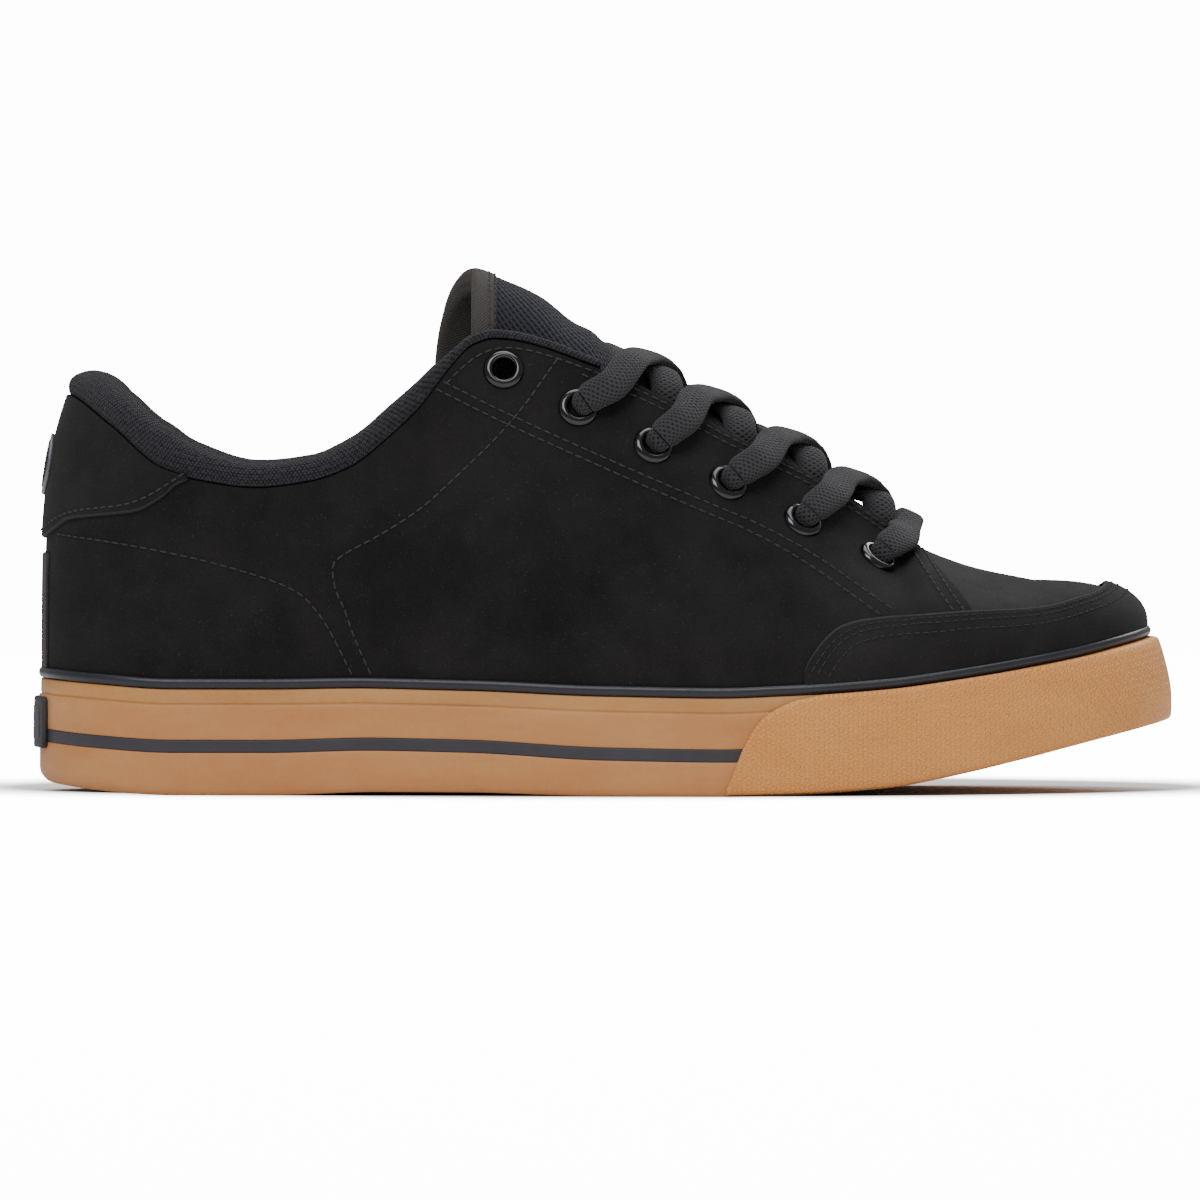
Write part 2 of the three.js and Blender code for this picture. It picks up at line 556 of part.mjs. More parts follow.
const eyeletDrill = (seat) =>
  solidOf(
    alongNormal(
      new THREE.CylinderGeometry(
        EYELET_HOLE + EYELET_BARREL + CLEARANCE,
        EYELET_HOLE + EYELET_BARREL + CLEARANCE,
        6 * UPPER_WALL,
        12,
      ),
      seat,
    ),
  );
const all = (solids) => wasm.Manifold.union(solids);

// UPPER
const innerForm = upperForm(-UPPER_WALL, { below: 5, seat: 3 });
const upper = layered(0)
  .subtract(innerForm)
  .subtract(overTopline)
  .subtract(throatBlock())
  .subtract(all(seats.map(eyeletDrill)));

// SOLE
// Its outer surface at a share of the wall's height, with the lip and the stripe's groove if asked
function soleOffset(x, share) {
  const foot = tuck(x) * SOLE_HEIGHT * Math.max(0, 1 - share / 0.14) ** 2;
  const head = topInset(x) * Math.max(0, (share - 0.3) / 0.7) ** 1.5;
  return -foot - head;
}
const lipShare = (x) => 1 - LIP_HEIGHT / (wall(x) * SOLE_HEIGHT);
const stripeHalf = (x) => STRIPE_HEIGHT / 2 / (wall(x) * SOLE_HEIGHT);
const soleRow = (share, extra = 0) => (place) => {
  const f = share(place.x);
  const z = soleUnder(place.x) + f * wall(place.x) * SOLE_HEIGHT;
  return flatPoint(place, soleOffset(place.x, f) + extra, z);
};
const stripeLow = (x) => stripeShare(x) - stripeHalf(x);
const stripeHigh = (x) => stripeShare(x) + stripeHalf(x);
const belowLip = LIP_DEPTH * 0.6;
function soleBody() {
  const rows = [
    soleRow(() => 0),
    soleRow(() => 0.04),
    soleRow(() => 0.14),
    soleRow(stripeLow),
    soleRow(stripeLow, -STRIPE_DEPTH),
    soleRow(stripeHigh, -STRIPE_DEPTH),
    soleRow(stripeHigh),
    soleRow(lipShare, belowLip),
    soleRow(lipShare, belowLip - LIP_DEPTH),
    soleRow(() => 1),
  ];
  return ringSolid(rows, soleUnder, soleOver);
}
// The plain outside of the sole, grown by an offset and longer below and above
function soleForm(offset) {
  const shares = [-0.3, 0.04, 0.14, 0.6, 1, 1.3];
  const rows = shares.map((share) => (place) => {
    const f = THREE.MathUtils.clamp(share, 0, 1);
    const z = soleUnder(place.x) + share * wall(place.x) * SOLE_HEIGHT;
    return flatPoint(place, soleOffset(place.x, f) + belowLip + offset, z);
  });
  return ringSolid(rows, (x) => soleUnder(x) - 0.3 * wall(x) * SOLE_HEIGHT, (x) => soleOver(x) + 9);
}
const wellInset = (x) => -topInset(x) - SOLE_WALL;
const well = (low, high, offset = 0) =>
  ringSolid(
    [low, high].map((z) => (place) => flatPoint(place, wellInset(place.x) + offset, z(place.x))),
    low,
    high,
  );
const treadField = ringSolid(
  [-4, 4].map((dz) => (place) => flatPoint(place, -0.09 * BALL_WIDTH, soleUnder(place.x) + dz)),
  (x) => soleUnder(x) - 4,
  (x) => soleUnder(x) + 4,
);
const treadGroove = (x) =>
  sideBlock([
    [x, soleUnder(x) - 3],
    [x + TREAD_WIDTH, soleUnder(x + TREAD_WIDTH) - 3],
    [x + TREAD_WIDTH, soleUnder(x + TREAD_WIDTH) + TREAD_DEPTH],
    [x, soleUnder(x) + TREAD_DEPTH],
  ]);
const treadCount = Math.floor((LENGTH * 0.9) / TREAD_PITCH);
const grooves = Array.from({ length: treadCount }, (_, i) => treadGroove(0.055 * LENGTH + i * TREAD_PITCH));
const outsole = soleBody()
  .subtract(well(floorOver, (x) => soleOver(x) + 10))
  .subtract(all(grooves).intersect(treadField));


// Side wall pieces
const bandOuter = (place, z) => flatPoint(place, -topInset(place.x) + BAND_PROUD, z(place.x));
const bandUnder = (x) => soleOver(x) + CLEARANCE;
const foxingBand = ringSolid(
  [(place) => bandOuter(place, bandUnder), (place) => bandOuter(place, bandOver)],
  bandUnder,
  bandOver,
).subtract(well((x) => bandUnder(x) - 3, (x) => bandOver(x) + 3));

const bumperLine = curve(BUMPER_REAR, "wall");
const wallZ = (x, share) => soleUnder(x) + share * wall(x) * SOLE_HEIGHT;
const bumperBlock = sideBlock([
  ...BUMPER_REAR.map((row) => [row.x * LENGTH, wallZ(row.x * LENGTH, row.wall)]),
  ...samples(0.75, 1.1, 8).map((share) => [share * LENGTH, soleOver(share * LENGTH)]),
  ...samples(1.1, 0.62, 10).map((share) => [share * LENGTH, soleUnder(share * LENGTH) + 0.5]),
]);
const bumperReach = Math.max(...BUMPER_REAR.map((row) => row.x)) * LENGTH;
const soleSkin = (low, high) => soleForm(high).subtract(soleForm(low));
const toeBumper = soleSkin(CLEARANCE, CLEARANCE + BUMPER_THICKNESS).intersect(bumperBlock);

// The stripe fills its groove from the bumper round the heel to the bumper
const stripeRow = (share, extra) => soleRow(share, extra);
const inGroove = (x) => CLEARANCE / (wall(x) * SOLE_HEIGHT);
const stripeUnder = (x) => stripeLow(x) + inGroove(x);
const stripeOver = (x) => stripeHigh(x) - inGroove(x);
const stripeStart = 0.6 * LENGTH;
const stripePlaces = (() => {
  const side = (which) =>
    halfRing(which)
      .filter((place) => place.x < stripeStart - 4)
      .concat(middle(stripeStart, which));
  return [...side(-1).slice(1).reverse(), ...side(1)];
})();
const sideStripe = loft(
  stripePlaces.map((place) => [
    stripeRow(stripeUnder, CLEARANCE - STRIPE_DEPTH)(place),
    stripeRow(stripeUnder, -0.1)(place),
    stripeRow(stripeOver, -0.1)(place),
    stripeRow(stripeOver, CLEARANCE - STRIPE_DEPTH)(place),
  ]),
);

const across = (points, depth = LENGTH) => {
  const shape = new THREE.Shape(points.map(([y, z]) => new THREE.Vector2(y, z)));
  const block = new THREE.ExtrudeGeometry(shape, { depth, bevelEnabled: false, curveSegments: 5 });
  return solidOf(block.applyMatrix4(new THREE.Matrix4().set(0, 0, 1, -depth / 2, 1, 0, 0, 0, 0, 1, 0, 0, 0, 0, 0, 1)));
};
const ovalPoints = (halfWidth, halfHeight, z, count) =>
  samples(0, 2 * Math.PI, count)
    .slice(0, -1)
    .map((t) => [halfWidth * Math.cos(t), z + halfHeight * Math.sin(t)]);
const BADGE_TOP = 0.91 * SOLE_HEIGHT;
const heelBadge = soleSkin(CLEARANCE, CLEARANCE + BADGE_THICKNESS).intersect(
  across([
    [-BADGE_HALF_WIDTH, BADGE_TOP - BADGE_HEIGHT],
    [BADGE_HALF_WIDTH, BADGE_TOP - BADGE_HEIGHT],
    [BADGE_HALF_WIDTH, BADGE_TOP],
    [-BADGE_HALF_WIDTH, BADGE_TOP],
  ], 0.26 * LENGTH),
);

// The insole on the sole's floor
const insoleInset = -UPPER_WALL - 2 * CLEARANCE;
const insoleFoot = (x) => floorOver(x) + CLEARANCE;
const insole = well(insoleFoot, (x) => insoleFoot(x) + INSOLE_THICKNESS, insoleInset);

// OVERLAYS ON THE UPPER
const largest = (solid) =>
  solid.decompose().reduce((best, body) => (body.volume() > best.volume() ? body : best));
const skin = (gap, thickness) => layered(gap + thickness).subtract(layered(gap));
const aboveBand = (solid) =>
  solid.subtract(
    ringSolid(
      [
        (place) => flatPoint(place, 8, -LENGTH),
        (place) => flatPoint(place, 8, upperBase(place.x) + CLEARANCE),
        (place) => flatPoint(place, -12, upperBase(place.x) + CLEARANCE),
      ],
      () => -LENGTH,
      upperBase,
    ),
  );
const guardRows = withHeights(GUARD_EDGE);
const guardBlock = sideBlock([
  [guardRows[0].x * LENGTH, 0],
  ...guardRows.map((row) => [row.x * LENGTH, row.z]),
  [guardRows[guardRows.length - 1].x * LENGTH, LENGTH],
  [2 * LENGTH, LENGTH],
  [2 * LENGTH, 0],
]);
const toeGuard = largest(aboveBand(skin(CLEARANCE, OVERLAY_THICKNESS).intersect(guardBlock)));

const patchRows = withHeights(PATCH_EDGE);
const patchSide = [
  ...patchRows.map((row) => [row.x * LENGTH, row.z]),
  [patchRows[patchRows.length - 1].x * LENGTH, LENGTH],
  [-LENGTH, LENGTH],
  [-LENGTH, patchRows[0].z],
];
const heelSkin = (gap, thickness) => upperForm(gap + thickness).subtract(upperForm(gap));
const heelPatch = heelSkin(CLEARANCE, OVERLAY_THICKNESS)
  .intersect(sideBlock(patchSide))
  .subtract(overTopline);

const backstayTop = patchRows[1].z - CLEARANCE - 3;
const backstay = largest(aboveBand(
  heelSkin(CLEARANCE, BACKSTAY_THICKNESS).intersect(
    across([
      [-BACKSTAY_HALF_WIDTH, 0],
      [BACKSTAY_HALF_WIDTH, 0],
      [BACKSTAY_HALF_WIDTH * 0.9, backstayTop],
      [-BACKSTAY_HALF_WIDTH * 0.9, backstayTop],
    ], 0.26 * LENGTH),
  ),
));
const emblemGap = OVERLAY_THICKNESS + 2 * CLEARANCE;
const emblemZ = 0.82 * HEEL_HEIGHT;
const heelEmblem = heelSkin(emblemGap, EMBLEM_THICKNESS).intersect(
  across(ovalPoints(EMBLEM_WIDTH / 2, EMBLEM_HEIGHT / 2, emblemZ, 16), 0.26 * LENGTH),
);

// PADDED COLLAR
const collarRise = curve(COLLAR, "rise");
const collarThick = curve(COLLAR, "thick");
const collarDepth = curve(COLLAR, "depth");
function edgePoint(place, offset = 0) {
  if (place.x >= 0.403 * LENGTH) return upperAt(place, lastHeight(place.x), offset);
  let z = topline(place.x);
  for (let i = 0; i < 12; i += 1) z = topline(upperAt(place, z).x);
  return upperAt(place, z, offset);
}
function collarSection(place) {
  const from = spine(place);
  const facing = outline(place, 0).sub(from).normalize();
  const reach = (p) => Math.hypot(p.x - from.x, p.y - from.y);
  const edgeAt = edgePoint(place);
  const x = edgeAt.x;
  const [up, deep] = [collarRise(x) * HEEL_HEIGHT, collarDepth(x) * HEEL_HEIGHT];
  const z = edgeAt.z;
  const outer = reach(edgeAt);
  const inside = (dz) => reach(upperAt(place, z + dz, -UPPER_WALL)) - 2 * CLEARANCE;
  const pad = collarThick(x) * HEEL_HEIGHT - UPPER_WALL - CLEARANCE;
  const inner = inside(0) - pad;
  const width = outer - inner;
  const slim = Math.min(0.9, pad * 0.6);
  const points = [
    [outer, CLEARANCE],
    [outer + 0.12 * up, 0.35 * up],
    [outer - 0.12 * width, 0.85 * up],
    [outer - 0.42 * width, up],
    [outer - 0.75 * width, 0.85 * up],
    [inner, 0.3 * up],
    [inside(-0.5 * deep) - pad, -0.5 * deep],
    [inside(-deep) - slim, -deep],
    [inside(-deep), -deep],
    [inside(0), CLEARANCE],
  ];
  return points.map(([s, dz]) => new THREE.Vector3(from.x + facing.x * s, from.y + facing.y * s, z + dz));
}
const COLLAR_STATIONS = [
  0.13, 0.16, 0.193, 0.226, 0.256, 0.283, 0.307, 0.327, 0.343, 0.36, 0.377, 0.387, 0.397,
  0.408, 0.42, 0.445,
  COLLAR_FRONT,
];
const collarPlaces = [
  ...COLLAR_STATIONS.map((share) => middle(share * LENGTH, -1)).reverse(),
  ...samples(0, Math.PI / 2, HEEL_STEPS).slice(1, -1).map((turn) => round(turn, -1, -1)).reverse(),
  round(0, -1, -1),
  ...samples(0, Math.PI / 2, HEEL_STEPS).slice(1, -1).map((turn) => round(turn, 1, -1)),
  ...COLLAR_STATIONS.map((share) => middle(share * LENGTH, 1)),
];
const collar = loft(collarPlaces.map(collarSection));

// TONGUE
const tongueRows = withHeights(TONGUE);
const tongueCrown = curve(tongueRows, "z");
const tongueHalf = curve(tongueRows, "half");
const tongueFoot = curve(tongueRows, "foot");
const tongueThick = curve(tongueRows, "thick");
const RIM_X = 0.382 * LENGTH;
const ARCH_STEPS = 8;
function tongueSection(x, { grow = 0, thick = TONGUE_THICKNESS } = {}) {
  const crown = tongueCrown(x);
  const foot = crown - tongueFoot(x) * INSTEP_HEIGHT;
  const arch = (inset) =>
    samples(-Math.PI / 2, Math.PI / 2, ARCH_STEPS).map((turn) => {
      const side = turn < 0 ? -1 : 1;
      const place = middle(x, side);
      const room = Math.abs(upperAt(place, Math.min(foot, crest(x) - 6), -UPPER_WALL).y - centreY(x));
      const half = tongueHalf(x) * room - inset;
      const s = Math.abs(Math.sin(turn)) ** 0.9;
      const z = foot + (crown - inset - foot) * Math.cos(turn) ** 0.85;
      const past = THREE.MathUtils.clamp((0.47 * LENGTH - x) / (0.47 * LENGTH - RIM_X), 0, 1);
      const skew = side > 0 ? RIM_SKEW * LENGTH * s * past : 0;
      return new THREE.Vector3(x - skew, centreY(x) + side * s * half, z);
    });
  return [...arch(-grow), ...arch(thick * tongueThick(x)).reverse()];
}
const BINDING = 0.0245 * LENGTH;
const tongueStations = [0.425, 0.445, 0.467, 0.49, 0.51, 0.54, 0.6, 0.65, 0.7, 0.74, 0.77, 0.81];
const tongue = loft(
  [RIM_X + BINDING + CLEARANCE, ...tongueStations.map((share) => share * LENGTH)].map((x) => tongueSection(x)),
);
const tongueBinding = loft(
  [0, 0.5, 1].map((share) => tongueSection(RIM_X + BINDING * share, { grow: 0.3, thick: TONGUE_THICKNESS + 0.3 })),
);

// EYELETS
const barrelRadius = EYELET_HOLE + EYELET_BARREL;
function eyelet(seat) {
  const profile = [
    [EYELET_HOLE, 0.4 - UPPER_WALL],
    [barrelRadius, 0.4 - UPPER_WALL],
    [barrelRadius, CLEARANCE],
    [EYELET_RADIUS, CLEARANCE],
    [EYELET_RADIUS - 0.5, CLEARANCE + EYELET_PROUD],
    [EYELET_HOLE, CLEARANCE + EYELET_PROUD - 0.2],
    [EYELET_HOLE, 0.4 - UPPER_WALL],
  ].map(([r, h]) => new THREE.Vector2(r, h));
  return solidOf(alongNormal(new THREE.LatheGeometry(profile, 8), seat));
}

// LACES
const seatOf = (number, side) => seats.find((seat) => seat.number === number && seat.side === side);
// The eyestay's edge nearest an eyelet, and the way from the eyelet to it
function edgeNear(number, side) {
  const { centre } = seatOf(number, side);
  const xs = samples(centre.x, centre.x + 18, 36);
  const points = xs.map((x) => edgePoint(middle(Math.min(x, THROAT.taper * LENGTH), side)));
  return points.reduce((best, p) => (p.distanceTo(centre) < best.distanceTo(centre) ? p : best));
}
// A flat cord through a row of points; each has its up direction, width and thickness
function cord(stops) {
  const path = new THREE.CatmullRomCurve3(stops.map((stop) => stop.at), false, "centripetal");
  const count = (stops.length - 1) * 2;
  return loft(
    samples(0, 1, count).map((t) => {
      const span = t * (stops.length - 1);
      const i = Math.min(Math.floor(span), stops.length - 2);
      const [a, b, u] = [stops[i], stops[i + 1], span - i];
      const tangent = path.getTangent(t);
      const up = a.up.clone().lerp(b.up, u);
      up.addScaledVector(tangent, -up.dot(tangent)).normalize();
      const wide = new THREE.Vector3().crossVectors(tangent, up);
      const half = THREE.MathUtils.lerp(a.wide, b.wide, u) / 2;
      const tall = THREE.MathUtils.lerp(a.tall, b.tall, u) / 2;
      const centre = path.getPoint(t);
      return samples(0, 2 * Math.PI, 6).slice(0, -1).map((turn) =>
        centre
          .clone()
          .addScaledVector(wide, half * Math.sign(Math.cos(turn)) * Math.abs(Math.cos(turn)) ** 0.8)
          .addScaledVector(up, tall * Math.sin(turn)),
      );
    }),
  );
}
const UP = new THREE.Vector3(0, 0, 1);
const DIVE = { above: -0.5, end: -3 }; // from the edges' height, before the far edge and at it
const flat = { wide: LACE_WIDTH, tall: LACE_THICKNESS };
function fromEyelet(number, side) {
  const { centre, normal } = seatOf(number, side);
  const lip = edgeNear(number, side);
  const over = lip.clone().sub(centre);
  const out = (height, along) => centre.clone().addScaledVector(normal, height).addScaledVector(over, along);
  const narrow = EYELET_HOLE * 1.3;
  return [
    { at: out(-0.6, 0), up: over.clone().normalize(), wide: narrow, tall: 2 },
    { at: out(3.4, 0.22), up: normal, wide: LACE_WIDTH * 0.8, tall: LACE_THICKNESS * 0.9 },
    { at: out(3.9, 0.62), up: normal, ...flat },
  ];
}
const overEdge = (lip, side, lifted) => ({
  at: lip.clone().add(new THREE.Vector3(0, -side * 2, lifted)),
  up: new THREE.Vector3(0, side * 0.5, 1).normalize(),
  ...flat,
});
function crossing(number) {
  const strand = (side, level) => {
    const [near, far] = [edgeNear(number, side), edgeNear(number + 1, -side)];
    const at = (share, lifted) => near.clone().lerp(far, share).add(new THREE.Vector3(0, 0, lifted));
    const inward = new THREE.Vector3(0, side * 0.6, 1).normalize();
    return cord([
      ...fromEyelet(number, side),
      overEdge(near, side, 3.6),
      { at: at(0.5, level), up: UP, ...flat },
      { at: at(0.83, DIVE.above), up: UP, ...flat },
      { at: at(0.9, DIVE.end), up: inward, ...flat },
    ]);
  };
  const lower = 0.6 * (number - 2);
  return strand(-1, 7.4 - lower).add(strand(1, 5 - lower));
}
function bar() {
  const sides = [-1, 1].map((side) => [
    ...fromEyelet(EYELET_COUNT, side),
    overEdge(edgeNear(EYELET_COUNT, side), side, 5.2),
  ]);
  const mid = sides[0][3].at.clone().lerp(sides[1][3].at, 0.5);
  mid.add(new THREE.Vector3(1.6, 0, 4.2));
  return cord([...sides[0], { at: mid, up: UP, ...flat }, ...sides[1].reverse()]);
}
const crossings = [2, 3, 4, 5].map(crossing);
const bottomBar = bar();

// ASSEMBLY
const COLOURS = {
  gum: 0xc4915f,
  bumper: 0xd79c5c,
  dark: 0x2b2a2c,
  leather: 0x1d1b1d,
  overlay: 0x2b2b2c,
  knit: 0x2b2a30,
  lace: 0x3a393c,
  metal: 0x111113,
  silver: 0x9a9a9c,
  lining: 0x4c4a48,
};
const shoe = new THREE.Group();
function piece(name, solid, colour) {
  const material = new THREE.MeshStandardMaterial({ color: COLOURS[colour], roughness: 0.8 });
  const mesh = new THREE.Mesh(geometryOf(solid), material);
  mesh.name = name;
  shoe.add(mesh);
}
piece("outsole", outsole, "gum");
piece("toe_bumper", toeBumper, "bumper");
piece("foxing_band", foxingBand, "dark");
piece("side_stripe", sideStripe, "dark");
piece("heel_badge", heelBadge, "dark");
piece("insole", insole, "lining");
piece("upper", upper, "leather");
piece("collar", collar, "knit");
piece("tongue", tongue, "knit");
piece("tongue_binding", tongueBinding, "lining");
piece("toe_guard", toeGuard, "overlay");
piece("heel_patch", heelPatch, "overlay");
piece("backstay", backstay, "lining");
piece("heel_emblem", heelEmblem, "silver");
seats.forEach((seat) => {
  piece(`eyelet_${seat.side < 0 ? "outer" : "inner"}_${seat.number}`, eyelet(seat), "metal");
});
crossings.forEach((solid, i) => piece(`lace_cross_${i + 1}`, solid, "lace"));
piece("lace_bar", bottomBar, "lace");

// Stand it on z 0 with the middle of its box on the axes
const box = new THREE.Box3().setFromObject(shoe);
const middlePoint = box.getCenter(new THREE.Vector3());
shoe.children.forEach((mesh) => {
  mesh.geometry.translate(-middlePoint.x, -middlePoint.y, -box.min.z);
});

export default shoe;
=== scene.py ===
import math
import bmesh
import bpy
import numpy as np
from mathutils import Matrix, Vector


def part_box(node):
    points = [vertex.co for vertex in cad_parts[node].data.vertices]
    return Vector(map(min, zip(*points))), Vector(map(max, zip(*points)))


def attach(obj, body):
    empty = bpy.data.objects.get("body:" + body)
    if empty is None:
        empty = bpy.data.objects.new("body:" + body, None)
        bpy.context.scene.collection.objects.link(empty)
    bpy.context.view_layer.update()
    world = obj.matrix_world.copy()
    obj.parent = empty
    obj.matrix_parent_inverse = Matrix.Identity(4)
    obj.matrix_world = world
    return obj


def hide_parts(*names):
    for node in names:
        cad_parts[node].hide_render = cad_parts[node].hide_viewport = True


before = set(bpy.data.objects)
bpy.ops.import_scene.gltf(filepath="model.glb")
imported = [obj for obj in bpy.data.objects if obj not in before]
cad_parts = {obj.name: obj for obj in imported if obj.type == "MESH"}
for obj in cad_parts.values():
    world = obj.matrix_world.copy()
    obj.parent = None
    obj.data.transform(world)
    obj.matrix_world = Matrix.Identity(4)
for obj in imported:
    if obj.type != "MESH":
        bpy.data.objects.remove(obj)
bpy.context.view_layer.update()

# Driving dimensions in millimetres, as in the part's source
LENGTH = 300.0
BALL_WIDTH = 110.0
SOLE_HEIGHT = 28.0
TOE_SPRING = 19.2
HEEL_HEIGHT = 105.0
ANKLE_HEIGHT = 81.3
INSTEP_HEIGHT = 120.5
TOE_HEIGHT = 57.2
TONGUE_HEIGHT = 139.0
CLEARANCE = 0.3
UPPER_WALL = 2.6
VAMP_STEP = 1.1
UPPER_INSET = 1.0
SOLE_WALL = 2.6
SOLE_FLOOR = 9.0
INSOLE_THICKNESS = 5.0
BAND_HEIGHT = 2.4
BUMPER_THICKNESS = 1.8
STRIPE_HEIGHT = 3.5
LIP_HEIGHT = 4.2
LIP_DEPTH = 0.5
WALL_LENGTH = LENGTH - BUMPER_THICKNESS
HEEL_X = 0.13 * LENGTH
TOE_X = 0.795 * LENGTH
RIDGE_END = 0.88 * LENGTH
HEEL_ROUNDNESS = 2.25
TOE_ROUNDNESS = 2.3
THROAT_REAR = 0.403 * LENGTH
THROAT_TAPER = 0.745 * LENGTH
THROAT_FRONT = 0.787 * LENGTH
# Scale of the side view, its frame, and where the heel and the ground stand in it
MM_PER_PIXEL = 0.2632
PHOTO = 1200
HEEL_PIXEL, GROUND_PIXEL = 35, 797

HEIGHTS = {
    "heel": HEEL_HEIGHT,
    "ankle": ANKLE_HEIGHT,
    "instep": INSTEP_HEIGHT,
    "toe": TOE_HEIGHT,
    "tongue": TONGUE_HEIGHT,
}


def table(names, rows):
    """Named columns of numbers, with the height z that the named heights mix to."""
    data = np.array(rows, float)
    made = {name: data[:, i] for i, name in enumerate(names.split())}
    made["z"] = sum((made[k] * h for k, h in HEIGHTS.items() if k in made), np.zeros(len(rows)))
    return made


def curve(made, key):
    """Smooth curve through one column that never swings past its rows."""
    xs, ys = made["x"] * LENGTH, made[key]
    h = np.diff(xs)
    slope = np.diff(ys) / h
    m = np.empty_like(ys)
    m[0], m[-1] = slope[0], slope[-1]
    a, b = slope[:-1], slope[1:]
    both = np.where(np.abs(a + b) > 1e-12, a + b, 1.0)
    m[1:-1] = np.where(a * b > 0, 2 * a * b / both, 0.0)

    def at(x):
        x = np.clip(np.asarray(x, float), xs[0], xs[-1])
        i = np.clip(np.searchsorted(xs, x, side="right") - 1, 0, len(xs) - 2)
        t = (x - xs[i]) / h[i]
        t2, t3 = t * t, t * t * t
        low = (2 * t3 - 3 * t2 + 1) * ys[i] + (t3 - 2 * t2 + t) * h[i] * m[i]
        return low + (3 * t2 - 2 * t3) * ys[i + 1] + (t3 - t2) * h[i] * m[i + 1]

    return at


# Plan of the sole: shares of LENGTH, then shares of BALL_WIDTH
PLAN = table("x centre outer inner", [
    (0.0, 0.0, 0.345, 0.345), (0.13, 0.0, 0.359, 0.35), (0.25, 0.0, 0.364, 0.336),
    (0.37, 0.005, 0.386, 0.336), (0.5, 0.009, 0.445, 0.382), (0.62, 0.018, 0.505, 0.436),
    (0.7, 0.027, 0.532, 0.464), (0.8, 0.041, 0.536, 0.459), (0.9, 0.059, 0.514, 0.423),
    (1.0, 0.073, 0.491, 0.382),
])
# Side of the sole: shares of TOE_SPRING, SOLE_HEIGHT and the wall's height
SIDE = table("x lift wall lean tuck stripe", [
    (0.0, 0.135, 0.993, 0.01, 0.093, 0.463), (0.05, 0.055, 1.01, 0.014, 0.07, 0.463),
    (0.12, 0.0, 1.004, 0.02, 0.045, 0.463), (0.2, 0.0, 1.003, 0.028, 0.036, 0.463),
    (0.3, 0.048, 0.979, 0.034, 0.036, 0.463), (0.38, 0.045, 0.961, 0.036, 0.036, 0.455),
    (0.5, 0.0, 0.943, 0.036, 0.032, 0.425), (0.6, 0.0, 0.929, 0.036, 0.028, 0.416),
    (0.66, 0.026, 0.936, 0.039, 0.025, 0.416), (0.75, 0.13, 0.932, 0.046, 0.021, 0.416),
    (0.8, 0.27, 0.907, 0.057, 0.018, 0.416), (0.87, 0.515, 0.854, 0.082, 0.014, 0.416),
    (0.94, 0.78, 0.808, 0.111, 0.011, 0.416), (1.0, 1.0, 0.8, 0.132, 0.011, 0.416),
])
# Sections of the last
LAST = table("x heel instep toe share round steep ridge spread", [
    (0.0, 1, 0, 0, 0.81, 1.0, 3.65, 0, 0.5), (0.13, 0.8, 0, 0, 0.9, 1.0, 2.96, 0, 0.5),
    (0.25, 0.68, 0.32, 0, 0.77, 1.0, 3.3, 0, 0.5), (0.35, 0.16, 0.84, 0, 0.69, 1.0, 2.8, 0, 0.5),
    (0.403, 0, 1, 0, 0.64, 1.0, 2.55, 0, 0.5), (0.5, 0, 0.869, 0.131, 0.55, 1.1, 2.4, 0, 0.5),
    (0.62, 0, 0.585, 0.415, 0.39, 1.4, 2.2, 0.25, 0.47),
    (0.69, 0, 0.414, 0.586, 0.3, 1.6, 2.1, 0.32, 0.42),
    (0.75, 0, 0.231, 0.769, 0.19, 2.0, 2.1, 0.36, 0.27), (0.783, 0, 0.13, 0.87, 0, 2.0, 2.1, 0, 0.27),
    (0.803, 0, 0.09, 0.91, 0, 2.0, 2.1, 0, 0.27), (0.83, 0, 0.049, 0.951, 0, 2.15, 2.15, 0, 0.27),
    (0.88, 0, 0, 1, 0, 2.6, 2.3, 0, 0.27),
])
TOPLINE = table("x heel ankle instep", [
    (-0.1, 1, 0, 0), (0.024, 1, 0, 0), (0.064, 0.68, 0.32, 0), (0.11, 0.2, 0.8, 0),
    (0.139, 0.09, 0.91, 0), (0.193, 0, 1, 0), (0.239, 0, 0.96, 0.04), (0.275, 0, 0.865, 0.135),
    (0.31, 0, 0.66, 0.34), (0.337, 0, 0.46, 0.54), (0.352, 0, 0.31, 0.69), (0.367, 0, 0.165, 0.835),
    (0.383, 0, 0.045, 0.955), (0.403, 0, 0, 1), (0.42, 0, 0.01, 0.99),
])
GUARD_EDGE = table("x toe", [
    (0.665, 0.3), (0.671, 0.44), (0.674, 0.57), (0.684, 0.67), (0.694, 0.735), (0.708, 0.79),
    (0.731, 0.82), (0.771, 0.836), (0.823, 0.853), (0.865, 0.86), (0.889, 0.872), (0.912, 0.902),
    (0.931, 0.93), (0.943, 0.978), (0.95, 1.3),
])
PATCH_EDGE = table("x heel", [
    (-0.01, 0.59), (0.002, 0.63), (0.016, 0.664), (0.03, 0.691), (0.052, 0.699), (0.087, 0.711),
    (0.11, 0.745), (0.124, 0.779), (0.14, 0.797),
])
COLLAR = table("x rise thick depth", [
    (0.0, 0.056, 0.13, 0.26), (0.03, 0.066, 0.13, 0.25), (0.06, 0.082, 0.13, 0.24),
    (0.11, 0.108, 0.12, 0.2), (0.14, 0.084, 0.11, 0.18), (0.19, 0.06, 0.1, 0.16),
    (0.24, 0.058, 0.092, 0.16), (0.275, 0.068, 0.08, 0.16), (0.31, 0.074, 0.065, 0.15),
    (0.337, 0.068, 0.055, 0.13), (0.365, 0.038, 0.046, 0.09), (0.385, 0.026, 0.04, 0.05),
    (0.41, 0.022, 0.036, 0.02), (0.5, 0.02, 0.034, 0.02),
])
